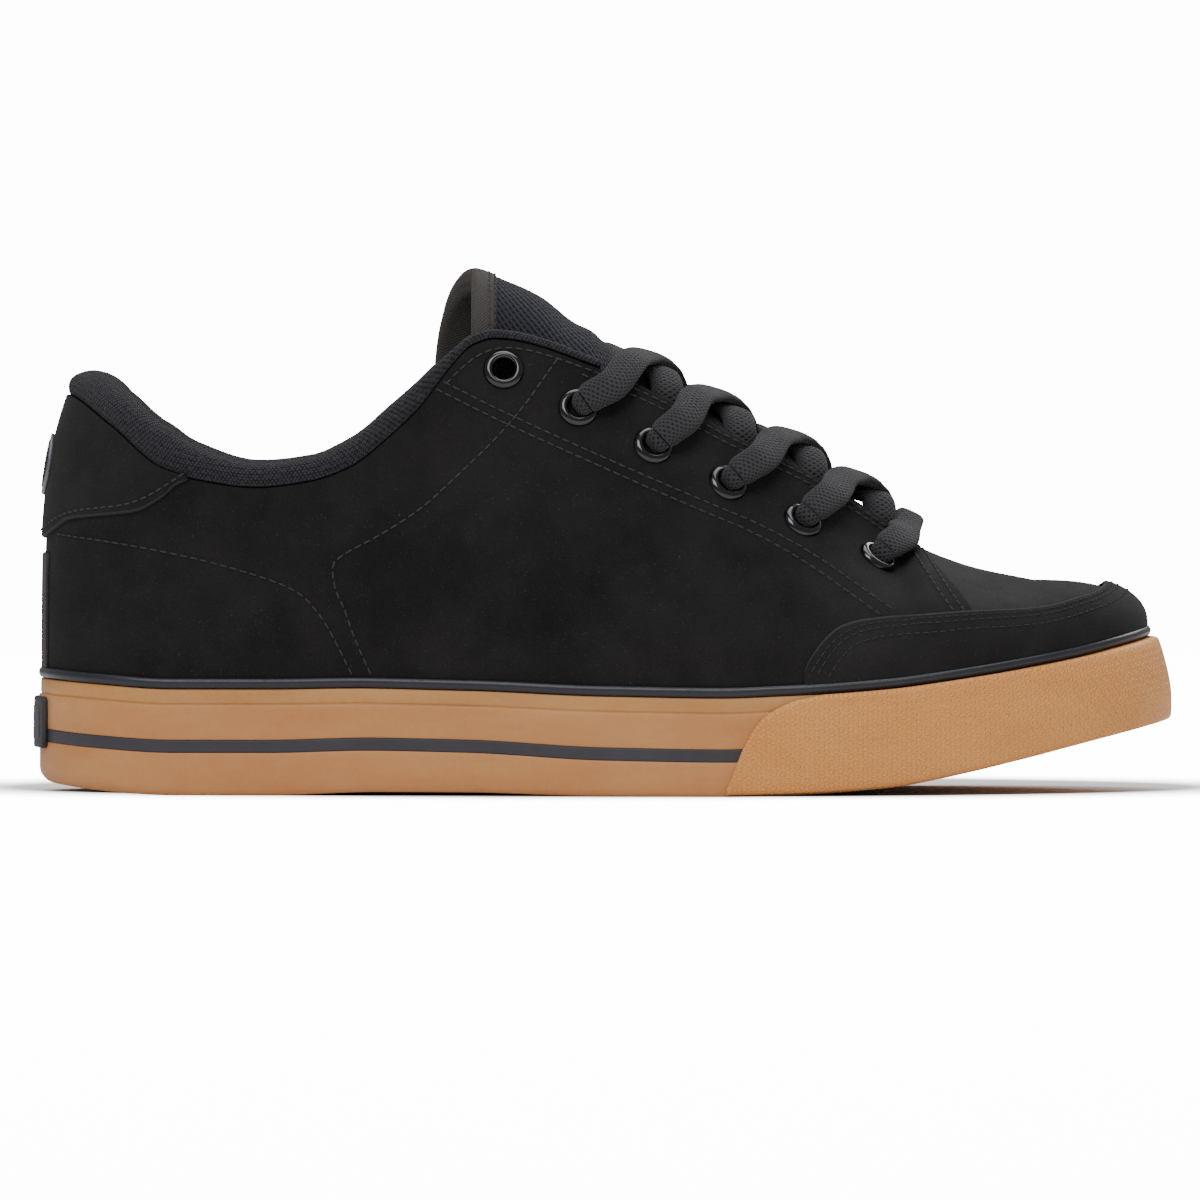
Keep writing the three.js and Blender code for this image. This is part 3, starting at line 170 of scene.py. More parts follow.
# Slanted front edge of the quarters over the toe box
FRONT_EDGE = table("x toe", [
    (0.7, 1.6), (0.781, 1.13), (0.8, 1.02), (0.823, 0.86), (0.84, 0.6), (0.86, 0.3),
])
BUMPER_REAR = table("x wall", [
    (0.6, -0.2), (0.605, 0.02), (0.612, 0.22), (0.623, 0.53), (0.64, 0.8), (0.671, 0.96), (0.712, 1.02),
])


def curves(made, keys):
    return [curve(made, key) for key in keys.split()]


centre_line, outer_edge, inner_edge = curves(PLAN, "centre outer inner")
lift, wall, lean, tuck, stripe_share = curves(SIDE, "lift wall lean tuck stripe")
last_z, last_share, last_round, last_steep, last_ridge, last_spread = curves(
    LAST, "z share round steep ridge spread"
)
topline, guard_edge, patch_edge, front_edge = (
    curve(rows, "z") for rows in (TOPLINE, GUARD_EDGE, PATCH_EDGE, FRONT_EDGE)
)
bumper_rear = curve(BUMPER_REAR, "wall")


def centre_y(x):
    return centre_line(x) * BALL_WIDTH


def under(x):
    return lift(x) * TOE_SPRING


def over(x):
    return under(x) + wall(x) * SOLE_HEIGHT


def band_over(x):
    return over(x) + CLEARANCE + BAND_HEIGHT


def inset(x):
    return lean(x) * SOLE_HEIGHT


class Spot:
    """Places on the outline. p runs 0..1 round the heel, 1..2 along the middle, 2..3 round the toe."""

    def __init__(self, p, side):
        self.p, self.side = np.broadcast_arrays(np.asarray(p, float), np.asarray(side, float))
        p = self.p
        self.heel, self.toe = p < 1, p > 2
        turn = np.clip(np.where(self.heel, p, 3 - p), 0, 1) * math.pi / 2
        power = np.where(self.heel, 2 / HEEL_ROUNDNESS, 2 / TOE_ROUNDNESS)
        ends = self.heel | self.toe
        self.along = np.where(ends, np.clip(np.cos(turn), 0, 1) ** power, 0.0)
        self.wide = np.where(ends, np.clip(np.sin(turn), 0, 1) ** power, 1.0)
        mid = HEEL_X + (p - 1) * (TOE_X - HEEL_X)
        heel_x = HEEL_X * (1 - self.along)
        toe_x = TOE_X + (WALL_LENGTH - TOE_X) * self.along
        self.x = np.where(self.heel, heel_x, np.where(self.toe, toe_x, mid))

    def outline(self, offset):
        reach = np.where(self.heel, HEEL_X, WALL_LENGTH - TOE_X) + offset
        start = np.where(self.heel, HEEL_X, TOE_X)
        sign = np.where(self.heel, -1.0, 1.0)
        ends = self.heel | self.toe
        px = np.where(ends, start + sign * reach * self.along, self.x)
        half = np.where(self.side < 0, outer_edge(self.x), inner_edge(self.x)) * BALL_WIDTH + offset
        return px, centre_y(self.x) + self.side * half * self.wide

    def fanned(self):
        return Spot(self.p[:, None], self.side[:, None])

    def spine(self):
        x = np.clip(self.x, HEEL_X, RIDGE_END)
        return x, centre_y(x)

    def flat(self, offset, z):
        x, y = self.outline(offset)
        return np.stack(np.broadcast_arrays(x, y, z), -1)

    def section(self, turn, offset=0.0):
        """A point of the upper's surface at a turn of its section, grown outwards by an offset."""
        cx, cy = self.spine()
        bx, by = self.outline(offset - inset(self.x) - UPPER_INSET)
        base = band_over(self.x) + CLEARANCE
        flat = np.clip(np.cos(turn), 0, 1) ** (2 / last_round(self.x))
        height = (crest(cx) + offset - base) * rise(self.x, turn)
        return np.stack([cx + (bx - cx) * flat, cy + (by - cy) * flat, base + height], -1)


def rise(x, turn):
    flat = np.clip(np.cos(turn), 0, 1) ** (2 / last_round(x))
    dome = np.clip(np.sin(turn), 0, 1) ** (2 / last_steep(x))
    ridge = last_ridge(x)
    return (1 - ridge) * dome + ridge * np.exp(-((flat / last_spread(x)) ** 2))


def crest(x):
    turn = np.arccos(np.clip(last_share(x), 0, 1) ** (last_round(x) / 2))
    base = band_over(x) + CLEARANCE
    return base + (last_z(x) - base) / rise(x, turn)


def turn_at(spot, z, offset=0.0):
    """Turn at which the section reaches a height."""
    low = np.zeros(np.broadcast(spot.p, z).shape)
    high = low + math.pi / 2
    for _ in range(34):
        mid = (low + high) / 2
        below = spot.section(mid, offset)[..., 2] < z
        low = np.where(below, mid, low)
        high = np.where(below, high, mid)
    return low


def on_side(x, z, side, offset=0.0):
    """The upper's point at a place seen from the side."""
    x, z = np.asarray(x, float), np.asarray(z, float)
    low, high = np.zeros_like(x), np.zeros_like(x) + 3
    for _ in range(30):
        mid = (low + high) / 2
        spot = Spot(mid, side)
        short = spot.section(turn_at(spot, z, offset), offset)[..., 0] < x
        low = np.where(short, mid, low)
        high = np.where(short, high, mid)
    spot = Spot(low, side)
    return spot.section(turn_at(spot, z, offset), offset)


# Middle of the CAD box, which is the origin of the frame
ring_p = np.concatenate([np.linspace(0, 1, 400), np.linspace(1, 2, 400), np.linspace(2, 3, 400)])
sole_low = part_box("outsole")[0] * 1000
form_edge = np.concatenate([Spot(ring_p, s).flat(0.0, 0.0) for s in (-1, 1)])
SHIFT = np.array([-0.05 - sole_low.x, form_edge[:, 1].min() - sole_low.y, 0.0])


def ways(points, axis=0):
    """Way along rows of points, from the first one."""
    steps = np.linalg.norm(np.diff(points, axis=axis), axis=-1)
    return np.concatenate([np.zeros_like(steps.take([0], axis)), np.cumsum(steps, axis)], axis)


def spot_from(kind, q):
    """Places at q, which runs from the middle of the heel or toe, outer side negative."""
    return Spot(np.abs(q) if kind == "heel" else 3 - np.abs(q), np.where(q < 0, -1.0, 1.0))


def path(kind, start, end, step):
    """Columns an equal way apart along the outline, and their way from the first."""
    dense = np.linspace(start, end, 4000)
    way = ways(spot_from(kind, dense).flat(0.0, 0.0))
    want = np.linspace(0, way[-1], max(2, int(round(way[-1] / step)) + 1))
    return spot_from(kind, np.interp(want, way, dense)), want


def fan(count, power):
    """Turns from the foot of a section to its top, closer together low down."""
    return np.linspace(0, 1, count)[None, :] ** power * math.pi / 2


def throat_turn(spot):
    """Turn of the throat's edge, and pi/2 in front of the throat."""
    at = np.minimum(spot.x, THROAT_TAPER)
    past = np.clip((spot.x - THROAT_TAPER) / (THROAT_FRONT - THROAT_TAPER), 0, 1)
    share = last_share(at) * np.sqrt(np.clip(1 - past * past, 0, 1))
    return np.arccos(np.clip(share, 0, 1) ** (last_round(spot.x) / 2))


def cross(spot, line):
    """Turn at which each column first crosses a line drawn in side view."""
    turns = fan(400, 1.4)
    pts = spot.fanned().section(turns)
    f = pts[..., 2] - line(pts[..., 0])
    hit = f >= 0
    k = np.argmax(hit, 1)
    none = ~hit.any(1)
    k1 = np.clip(k, 1, None)
    rows = np.arange(len(k))
    a, b = f[rows, k1 - 1], f[rows, k1]
    share = np.where(b != a, -a / np.where(b != a, b - a, 1), 0)
    t = turns[0, k1 - 1] + (turns[0, k1] - turns[0, k1 - 1]) * np.clip(share, 0, 1)
    t = np.where(k == 0, 0.0, t)
    return np.where(none, math.pi / 2, t)


def top_turn(spot):
    """Turn of the upper's edge: the topline, then the eyestay's edge."""
    side_view = cross(spot, topline)
    return np.where(spot.x < THROAT_REAR, side_view, throat_turn(spot))


def make(name, points, faces, material, uv=None, smooth=True, replaces=()):
    """A piece from points in the part's millimetres."""
    mesh = bpy.data.meshes.new(name)
    verts = (np.asarray(points).reshape(-1, 3) - SHIFT) / 1000
    mesh.from_pydata([tuple(v) for v in verts], [], [tuple(map(int, f)) for f in faces])
    if uv is not None:
        layer = mesh.uv_layers.new(name="UVMap")
        loops = np.empty(len(mesh.loops), np.int64)
        mesh.loops.foreach_get("vertex_index", loops)
        layer.data.foreach_set("uv", np.asarray(uv, float).reshape(-1, 2)[loops].ravel())
    mesh.validate()
    mesh.update()
    mesh.polygons.foreach_set("use_smooth", [smooth] * len(mesh.polygons))
    obj = bpy.data.objects.new(name, mesh)
    bpy.context.scene.collection.objects.link(obj)
    mesh.materials.append(material)
    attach(obj, "root")
    if replaces:
        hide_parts(*replaces)
    return obj


def weld(obj, distance=2e-6):
    bm = bmesh.new()
    bm.from_mesh(obj.data)
    bmesh.ops.remove_doubles(bm, verts=bm.verts, dist=distance)
    bmesh.ops.recalc_face_normals(bm, faces=bm.faces)
    bm.to_mesh(obj.data)
    bm.free()
    obj.data.polygons.foreach_set("use_smooth", [True] * len(obj.data.polygons))
    return obj


def grid_faces(columns, rows, closed_rows=True, closed_columns=False, start=0):
    faces = []
    last = columns if closed_columns else columns - 1
    for i in range(last):
        n = (i + 1) % columns
        for j in range(rows if closed_rows else rows - 1):
            m = (j + 1) % rows
            a, b = start + i * rows, start + n * rows
            faces.append((a + j, b + j, b + m, a + m))
    return faces


def tube(name, loops, material, uv, closed=False, replaces=()):
    """A closed body through a row of closed loops, each an array of points."""
    loops = np.asarray(loops)
    columns, rows = loops.shape[:2]
    faces = grid_faces(columns, rows, True, closed)
    if not closed:
        faces.append(tuple(range(rows)))
        faces.append(tuple(reversed([(columns - 1) * rows + j for j in range(rows)])))
    return weld(make(name, loops, faces, material, uv, replaces=replaces))


TOP = math.pi / 2 - 1e-6


def panel(
    name, spot, way, low, high, outer, inner, material, rows=40, foot=0.0, ridge=False, replaces=(),
    surface=Spot.section, soft=0.75, power=1.3, cut_top=None, cut_low=None,
):
    """A sheet between two lines across each column of a surface, with rounded edges."""
    columns = len(spot.p)
    low, high = np.zeros(columns) + low, np.zeros(columns) + high
    share = np.linspace(0, 1, 260)
    turns = low[:, None] + (high - low)[:, None] * share[None, :] ** power
    length = ways(surface(spot.fanned(), turns, outer), 1)
    edge = np.array([0.0, 0.16, 0.47, 1.0]) * soft
    drop = np.array([0.5, 0.2, 0.05, 0.0]) * (outer - inner)
    inner_rows = 6
    loops = np.empty((columns, rows + inner_rows, 3))
    uvs = np.empty((columns, rows + inner_rows, 2))
    for i in range(columns):
        total = length[i, -1]
        near = edge * min(1.0, total / (4 * soft))
        middle = np.linspace(near[-1], total - near[-1], rows - 6)[1:-1]
        at = np.concatenate([near, middle, (total - near)[::-1]])
        off = np.concatenate([drop, np.zeros(len(middle)), drop[::-1]])
        if ridge and high[i] > TOP:
            off[-4:] = 0
        if foot:
            off[:4] = 0
        t = np.interp(at, length[i], turns[i])
        loops[i, :rows] = surface(Spot(np.full(rows, spot.p[i]), spot.side[i]), t, outer - off)
        if foot:
            loops[i, 0, 2] -= foot
        t_in = np.linspace(high[i], low[i], inner_rows)
        loops[i, rows:] = surface(Spot(np.full(inner_rows, spot.p[i]), spot.side[i]), t_in, inner)
        if foot:
            loops[i, -1, 2] -= foot
        uvs[i, :, 0] = way[i]
        uvs[i, :rows, 1] = at
        uvs[i, rows:, 1] = np.linspace(total, 0, inner_rows)
    total_rows = rows + inner_rows
    faces, cut = [], []
    for i in range(columns - 1):
        closed_top = ridge and min(high[i], high[i + 1]) > TOP
        a, b = i * total_rows, (i + 1) * total_rows
        for j in range(total_rows):
            if closed_top and j == rows - 1:
                continue
            m = (j + 1) % total_rows
            faces.append((a + j, b + j, b + m, a + m))
            top_edge = cut_top and rows - 4 <= j <= rows - 1
            low_edge = cut_low and (j <= 1 or j == total_rows - 1)
            cut.append(1 if top_edge or low_edge else 0)
    faces.append(tuple(range(total_rows)))
    faces.append(tuple(reversed([(columns - 1) * total_rows + j for j in range(total_rows)])))
    cut += [1 if cut_top or cut_low else 0] * 2
    obj = make(name, loops, faces, material, uvs / 1000, replaces=replaces)
    if any(cut) and len(obj.data.polygons) == len(cut):
        obj.data.materials.append(cut_top or cut_low)
        obj.data.polygons.foreach_set("material_index", cut)
    return weld(obj)


# MATERIALS
def linear(hex_colour):
    values = [int(hex_colour[i : i + 2], 16) / 255 for i in (0, 2, 4)]
    return tuple(v / 12.92 if v <= 0.04045 else ((v + 0.055) / 1.055) ** 2.4 for v in values) + (1.0,)


class Nodes:
    def __init__(self, name, **settings):
        self.material = bpy.data.materials.new(name)
        self.material.use_nodes = True
        self.tree = self.material.node_tree
        self.shader = self.tree.nodes["Principled BSDF"]
        for key, value in settings.items():
            self.shader.inputs[key.replace("_", " ")].default_value = value

    def add(self, kind, **inputs):
        node = self.tree.nodes.new(kind)
        for key, value in inputs.items():
            if key.startswith("set_"):
                setattr(node, key[4:], value)
                continue
            socket = node.inputs[key.replace("_", " ")]
            if hasattr(value, "default_value") or isinstance(value, bpy.types.NodeSocket):
                self.tree.links.new(value, socket)
            else:
                socket.default_value = value
        return node

    def link(self, out, to):
        self.tree.links.new(out, to)

    def where(self, uv=False, scale=(1, 1, 1), turn=0.0):
        kind = "UV" if uv else "Object"
        source = self.add("ShaderNodeTexCoord").outputs[kind]
        mapping = self.add("ShaderNodeMapping", Vector=source, Scale=scale)
        mapping.inputs["Rotation"].default_value[2] = turn
        return mapping.outputs["Vector"]

    def noise(self, vector, scale, detail=3.0, rough=0.55):
        node = self.add("ShaderNodeTexNoise", Vector=vector, Scale=scale, Detail=detail, Roughness=rough)
        return node.outputs["Fac"]

    def waves(self, vector, scale, direction, **inputs):
        node = self.add("ShaderNodeTexWave", Vector=vector, Scale=scale, **inputs)
        node.bands_direction = direction
        return node.outputs["Fac"]

    def ramp(self, factor, low, high, dark, light):
        node = self.add("ShaderNodeValToRGB", Fac=factor)
        e = node.color_ramp.elements
        e[0].position, e[1].position = low, high
        e[0].color, e[1].color = dark, light
        return node.outputs["Color"]

    def math(self, operation, a, b=0.5):
        node = self.tree.nodes.new("ShaderNodeMath")
        node.operation = operation
        for i, v in enumerate((a, b)):
            if isinstance(v, bpy.types.NodeSocket):
                self.tree.links.new(v, node.inputs[i])
            else:
                node.inputs[i].default_value = v
        return node.outputs[0]

    def plus(self, a, b):
        return self.math("ADD", a, b)

    def minus(self, a, b):
        return self.math("SUBTRACT", a, b)

    def times(self, a, b):
        return self.math("MULTIPLY", a, b)

    def bump(self, height, distance, strength=1.0, normal=None):
        inputs = {"Height": height, "Distance": distance, "Strength": strength}
        if normal is not None:
            inputs["Normal"] = normal
        return self.add("ShaderNodeBump", **inputs).outputs["Normal"]

    def base(self, colour):
        self.link(colour, self.shader.inputs["Base Color"])

    def rough(self, value):
        self.link(value, self.shader.inputs["Roughness"])

    def normal(self, value):
        self.link(value, self.shader.inputs["Normal"])


def nubuck(name, dark, light, bloom):
    n = Nodes(name, Roughness=0.9, Specular_IOR_Level=0.12, Sheen_Weight=0.035, Sheen_Roughness=0.6)
    n.shader.inputs["Sheen Tint"].default_value = (0.75, 0.75, 0.8, 1)
    v = n.where()
    cloud = n.noise(v, 22, 4, 0.6)
    nap = n.noise(v, 1500, 3, 0.6)
    blotch = n.noise(v, 110, 4, 0.65)
    mixed = n.plus(n.times(cloud, 0.62), n.times(blotch, 0.26))
    mixed = n.plus(mixed, n.times(nap, 0.2))
    fleck = n.ramp(n.noise(v, 2300, 2, 0.5), 0.66, 0.8, (0, 0, 0, 1), (1, 1, 1, 1))
    base = n.ramp(mixed, 0.4, 0.72, linear(dark), linear(light))
    blend = n.add("ShaderNodeMix", set_data_type="RGBA", set_blend_type="ADD")
    blend.inputs[0].default_value = bloom
    n.link(base, blend.inputs[6])
    n.link(fleck, blend.inputs[7])
    n.base(blend.outputs[2])
    n.rough(n.plus(n.times(nap, 0.2), 0.78))
    fine = n.bump(nap, 0.00012, 0.7)
    n.normal(n.bump(n.noise(v, 38, 2, 0.5), 0.0016, 0.22, fine))
    return n.material


def lattice(n, uv, shift, wide=2.55, high=3.6):
    """Millimetres to the nearest point of a grid."""
    split = n.add("ShaderNodeSeparateXYZ", Vector=uv)
    squares = []
    for axis, size in (("X", wide), ("Y", high)):
        steps = n.times(split.outputs[axis], 1000 / size)
        turn = n.math("FRACT", n.plus(steps, 50 + shift))
        way = n.times(n.minus(turn, 0.5), size)
        squares.append(n.times(way, way))
    return n.math("SQRT", n.plus(*squares))


def gum(name, dark, light, cells=False):
    n = Nodes(
        name, Roughness=0.45, Specular_IOR_Level=0.35, Subsurface_Weight=0.1, Subsurface_Scale=0.003,
        Coat_Weight=0.04, Coat_Roughness=0.3,
    )
    n.shader.inputs["Subsurface Radius"].default_value = (1.0, 0.45, 0.15)
    v = n.where()
    streak = n.noise(n.where(scale=(1, 1, 3)), 30, 4, 0.6)
    speck = n.noise(v, 800, 2, 0.5)
    mixed = n.plus(n.times(streak, 0.8), n.times(speck, 0.2))
    soft = n.bump(n.noise(v, 60, 3, 0.5), 0.0006, 0.2)
    if cells:
        uv = n.where(uv=True)
        wobble = n.noise(uv, 420, 2, 0.5)
        near = n.math("MINIMUM", lattice(n, uv, 0.0), lattice(n, uv, 0.5))
        near = n.plus(near, n.times(n.minus(wobble, 0.5), 0.16))
        ring = n.math("ABSOLUTE", n.minus(near, 0.7))
        ring = n.minus(1.0, n.math("MINIMUM", n.times(ring, 3.4), 1.0))
        n.normal(n.bump(ring, 0.0006, 0.7, soft))
        # The raised rings are also painted lighter than the rubber between them: a painted highlight on their
        # tops, besides their bump.
        calm = n.plus(n.times(n.minus(mixed, 0.5), 0.45), 0.46)
        mixed = n.plus(calm, n.times(n.minus(ring, 0.25), 0.34))
    else:
        n.normal(soft)
    n.base(n.ramp(mixed, 0.3, 0.72, linear(dark), linear(light)))
    n.rough(n.plus(n.times(speck, 0.2), 0.38))
    return n.material


def tread(name, dark, light):
    """Gum rubber with fine siping."""
    n = Nodes(name, Roughness=0.55, Specular_IOR_Level=0.3)
    v = n.where()
    height = n.waves(v, 150.0, "DIAGONAL", Distortion=0.0)
    mixed = n.plus(n.times(height, 0.6), n.noise(v, 60, 3, 0.6))
    n.base(n.ramp(mixed, 0.3, 1.1, linear(dark), linear(light)))
    n.normal(n.bump(height, 0.0005, 0.7))
    return n.material


def rubber(name, colour, rough, spec=0.4):
    n = Nodes(name, Roughness=rough, Specular_IOR_Level=spec)
    v = n.where()
    fine = n.noise(v, 900, 2, 0.5)
    light = tuple(c * 1.25 for c in linear(colour)[:3]) + (1,)
    n.base(n.ramp(n.noise(v, 60, 3, 0.6), 0.3, 0.75, linear(colour), light))
    n.rough(n.plus(n.times(fine, 0.2), rough - 0.1))
    n.normal(n.bump(fine, 0.00008, 0.4))
    return n.material


def woven(name, dark, light, pitch, depth, sheen, diagonal=True, weak=0.9):
    """Cloth in the piece's own UV: two crossing sets of ridges a pitch in millimetres apart."""
    n = Nodes(name, Roughness=0.85, Specular_IOR_Level=0.25, Sheen_Weight=sheen, Sheen_Roughness=0.5)
    one = n.where(uv=True, turn=math.pi / 4 if diagonal else 0.0)
    ridges = [n.waves(one, 1000 / pitch / 3.18, way, Distortion=0.25, Detail=1.0) for way in ("X", "Y")]
    both = n.math("MAXIMUM", n.times(ridges[0], weak), ridges[1])
    fuzz = n.noise(n.where(), 1400, 2, 0.6)
    height = n.plus(both, n.times(fuzz, 0.35))
    n.base(n.ramp(height, 0.25, 1.1, linear(dark), linear(light)))
    n.normal(n.bump(height, depth, 0.8))
    return n.material


def knit(name, dark, light):
    """Knit with small uneven loops in rows along the piece."""
    n = Nodes(name, Roughness=0.92, Specular_IOR_Level=0.12, Sheen_Weight=0.08, Sheen_Roughness=0.6)
    v = n.where(uv=True)
    near = n.math("MINIMUM", lattice(n, v, 0.0, 1.0, 1.5), lattice(n, v, 0.5, 1.0, 1.5))
    uneven = n.noise(v, 900, 2, 0.5)
    near = n.plus(n.times(near, 1.5), n.times(n.minus(uneven, 0.5), 0.9))
    fuzz = n.noise(n.where(), 2200, 3, 0.7)
    rows = n.waves(n.where(uv=True), 190.0, "Y", Distortion=1.2, Detail=2.0)
    height = n.minus(1.0, n.times(near, 1.1))
    height = n.plus(height, n.times(fuzz, 0.55))
    height = n.plus(height, n.times(rows, 0.12))
    n.base(n.ramp(height, 0.55, 1.3, linear(dark), linear(light)))
    n.normal(n.bump(height, 0.0006, 0.9))
    return n.material


def metal(name, colour, rough, metallic, coat):
    n = Nodes(name, Roughness=rough, Metallic=metallic, Coat_Weight=coat, Coat_Roughness=0.12)
    n.shader.inputs["Base Color"].default_value = linear(colour)
    n.rough(n.plus(n.times(n.noise(n.where(), 500, 3, 0.6), 0.2), rough - 0.1))
    return n.material


LEATHER = nubuck("nubuck", "151314", "272526", 0.05)
OVERLAY_LEATHER = nubuck("overlay_nubuck", "181617", "2a2829", 0.05)
# The vamp's nubuck is a lighter copy of the quarters' nubuck: painted light for the overhead light falling on
# the toe's top.
VAMP_LEATHER_PAINTED_TOP_LIGHT = nubuck("vamp_nubuck_painted_top_light", "201e1e", "393737", 0.05)
GUM = gum("gum_rubber", "c78550", "d39962")
GUM_LIP = gum("gum_lip", "c1854c", "d29c63")
TREAD = tread("tread_rubber", "a8672f", "cb9159")
BUMPER = gum("bumper_rubber", "e0904a", "fdba6c", cells=True)
DARK_RUBBER = rubber("dark_rubber", "292a31", 0.34)
STRIPE_RUBBER = rubber("stripe_rubber", "3e3d42", 0.55, 0.3)
BADGE_RUBBER = rubber("badge_rubber", "3a393c", 0.6, 0.3)
COLLAR_KNIT = knit("collar_knit", "101012", "3b3942")
LACE_CLOTH = woven("lace_cloth", "0e0d0f", "37363a", 0.95, 0.0004, 0.1)
TAPE_CLOTH = woven("tape_cloth", "252321", "4b4744", 0.7, 0.0002, 0.05)
MESH_CLOTH = woven("tongue_mesh", "050508", "2b2d38", 1.7, 0.0007, 0.03, weak=0.55)
LINING_CLOTH = woven("lining_cloth", "0b0b0d", "19191d", 1.0, 0.0002, 0.05)
INSOLE_CLOTH = woven("insole_cloth", "101012", "222228", 1.2, 0.0002, 0.05, diagonal=False)
THREAD = woven("thread", "1c1c1c", "464548", 0.35, 0.0001, 0.0)
# The cut edges' lighter colour is partly the raw edge's own tone and partly a painted highlight along the
# edge.
CUT_EDGE_PAINTED_HIGHLIGHT = rubber("cut_leather_edge_painted_highlight", "333232", 0.8, 0.15)
EYELET_METAL = metal("eyelet_metal", "232427", 0.17, 0.85, 0.9)
EMBLEM_FINISH = metal("emblem_finish", "77787c", 0.42, 0.6, 0.1)


# UPPER
def front_turn(spot):
    """Turn at which the slanted front edge of the quarters crosses each column."""
    turns = fan(400, 1.4)
    pts = spot.fanned().section(turns)
    past = pts[..., 2] > front_edge(pts[..., 0])
    k = np.argmax(past, 1)
    return np.where(past.any(1), turns[0, k], math.pi / 2)


def some(spot, way, keep, *more):
    """The columns to keep, with their ways and any other values."""
    return (Spot(spot.p[keep], spot.side[keep]), way[keep]) + tuple(m[keep] for m in more)


quarter_spot, quarter_way = path("heel", -2.6, 2.6, 1.4)
quarter_spot, quarter_way = some(quarter_spot, quarter_way, quarter_spot.x < 0.845 * LENGTH)
front = np.where(quarter_spot.x > 0.75 * LENGTH, front_turn(quarter_spot), math.pi / 2)
quarter_top = np.maximum(np.minimum(top_turn(quarter_spot), front), 0.02)
quarter = panel(
    "quarters", quarter_spot, quarter_way, 0.0, quarter_top, 0.0, -1.5, LEATHER, rows=60, foot=1.6,
    replaces=("upper",),
)

vamp_spot, vamp_way = path("toe", -1.12, 1.12, 1.4)
vamp_top = np.where(vamp_spot.x < THROAT_FRONT, throat_turn(vamp_spot), math.pi / 2)
vamp = panel(
    "vamp", vamp_spot, vamp_way, 0.0, vamp_top, -VAMP_STEP, -2.1, VAMP_LEATHER_PAINTED_TOP_LIGHT,
    rows=46, foot=1.6, ridge=True,
)

guard_spot, guard_way = path("toe", -1.3, 1.3, 0.8)
guard_top = cross(guard_spot, guard_edge)
guard_spot, guard_way, guard_top = some(guard_spot, guard_way, guard_top > 0.03, guard_top)
panel(
    "toe_guard_skin", guard_spot, guard_way, 0.0, guard_top, 0.75, -0.35,
    OVERLAY_LEATHER, rows=34, foot=1.2, replaces=("toe_guard",), cut_top=CUT_EDGE_PAINTED_HIGHLIGHT,
)

patch_spot, patch_way = path("heel", -1.25, 1.25, 1.0)
patch_low, patch_high = cross(patch_spot, patch_edge), top_turn(patch_spot)
keep = (patch_high - patch_low > 0.004) & (patch_spot.x < 0.14 * LENGTH)
patch_spot, patch_way, patch_low, patch_high = some(patch_spot, patch_way, keep, patch_low, patch_high)
panel(
    "heel_patch_skin", patch_spot, patch_way, patch_low, patch_high, 1.3, 0.05, OVERLAY_LEATHER,
    rows=34, replaces=("heel_patch",), cut_low=CUT_EDGE_PAINTED_HIGHLIGHT,
)


def from_middle(spot):
    """Distance across the heel from its middle."""
    return spot.outline(0)[1] - centre_y(HEEL_X)


# Tape up the back of the heel, between the band and the patch
stay_spot, stay_way = path("heel", -0.5, 0.5, 0.5)
STAY_HALF, STAY_TOP = 12.5, 63.4
stay_spot, stay_way = some(stay_spot, stay_way, np.abs(from_middle(stay_spot)) < STAY_HALF)
stay_top = turn_at(stay_spot, STAY_TOP)
panel(
    "backstay_tape", stay_spot, stay_way, 0.0, stay_top, 0.8, 0.02, TAPE_CLOTH,
    rows=26, foot=0.8, replaces=("backstay",),
)


def oval_patch(name, half_wide, half_high, outer, inner, material, replaces=()):
    """Plain oval on the heel."""
    spot, way = path("heel", -0.5, 0.5, 0.35)
    y = from_middle(spot)
    spot, way, y = some(spot, way, np.abs(y) < half_wide * 0.999, y)
    high = half_high * np.sqrt(1 - (y / half_wide) ** 2)
    low_turn, high_turn = turn_at(spot, OVAL_Z - high), turn_at(spot, OVAL_Z + high)
    panel(name, spot, way, low_turn, high_turn, outer, inner, material, rows=24, replaces=replaces, soft=0.5)


OVAL_Z = 86.1
oval_patch("plain_oval", 10.5, 8.0, 2.25, 1.2, EMBLEM_FINISH, ("heel_emblem",))
oval_patch("plain_oval_field", 8.6, 6.2, 2.45, 2.0, OVERLAY_LEATHER)

# Lining down to the insole
lining_spot, lining_way = some(quarter_spot, quarter_way, quarter_spot.x < 0.74 * LENGTH)
LINING_DROP, LINING_FOOT = 0.004, 17.0
lining_top = top_turn(lining_spot) - LINING_DROP
lining = panel(
    "quarter_lining", lining_spot, lining_way, 0.0, lining_top, -2.0, -2.7, LINING_CLOTH,
    rows=30, foot=LINING_FOOT,
)
lining_top = np.where(vamp_top > 1.57, vamp_top, vamp_top - LINING_DROP)
vamp_lining = panel(
    "vamp_lining", vamp_spot, vamp_way, 0.0, lining_top, -2.2, -2.8, LINING_CLOTH,
    rows=26, foot=LINING_FOOT, ridge=True,
)


# SOLE
def sole_offset(x, share):
    foot = tuck(x) * SOLE_HEIGHT * np.clip(1 - share / 0.14, 0, None) ** 2
    head = inset(x) * np.clip((share - 0.3) / 0.7, 0, None) ** 1.5
    return -foot - head


def sole_surface(spot, share, offset):
    z = under(spot.x) + share * wall(spot.x) * SOLE_HEIGHT
    return spot.flat(sole_offset(spot.x, np.clip(share, 0, 1)) + offset, z)


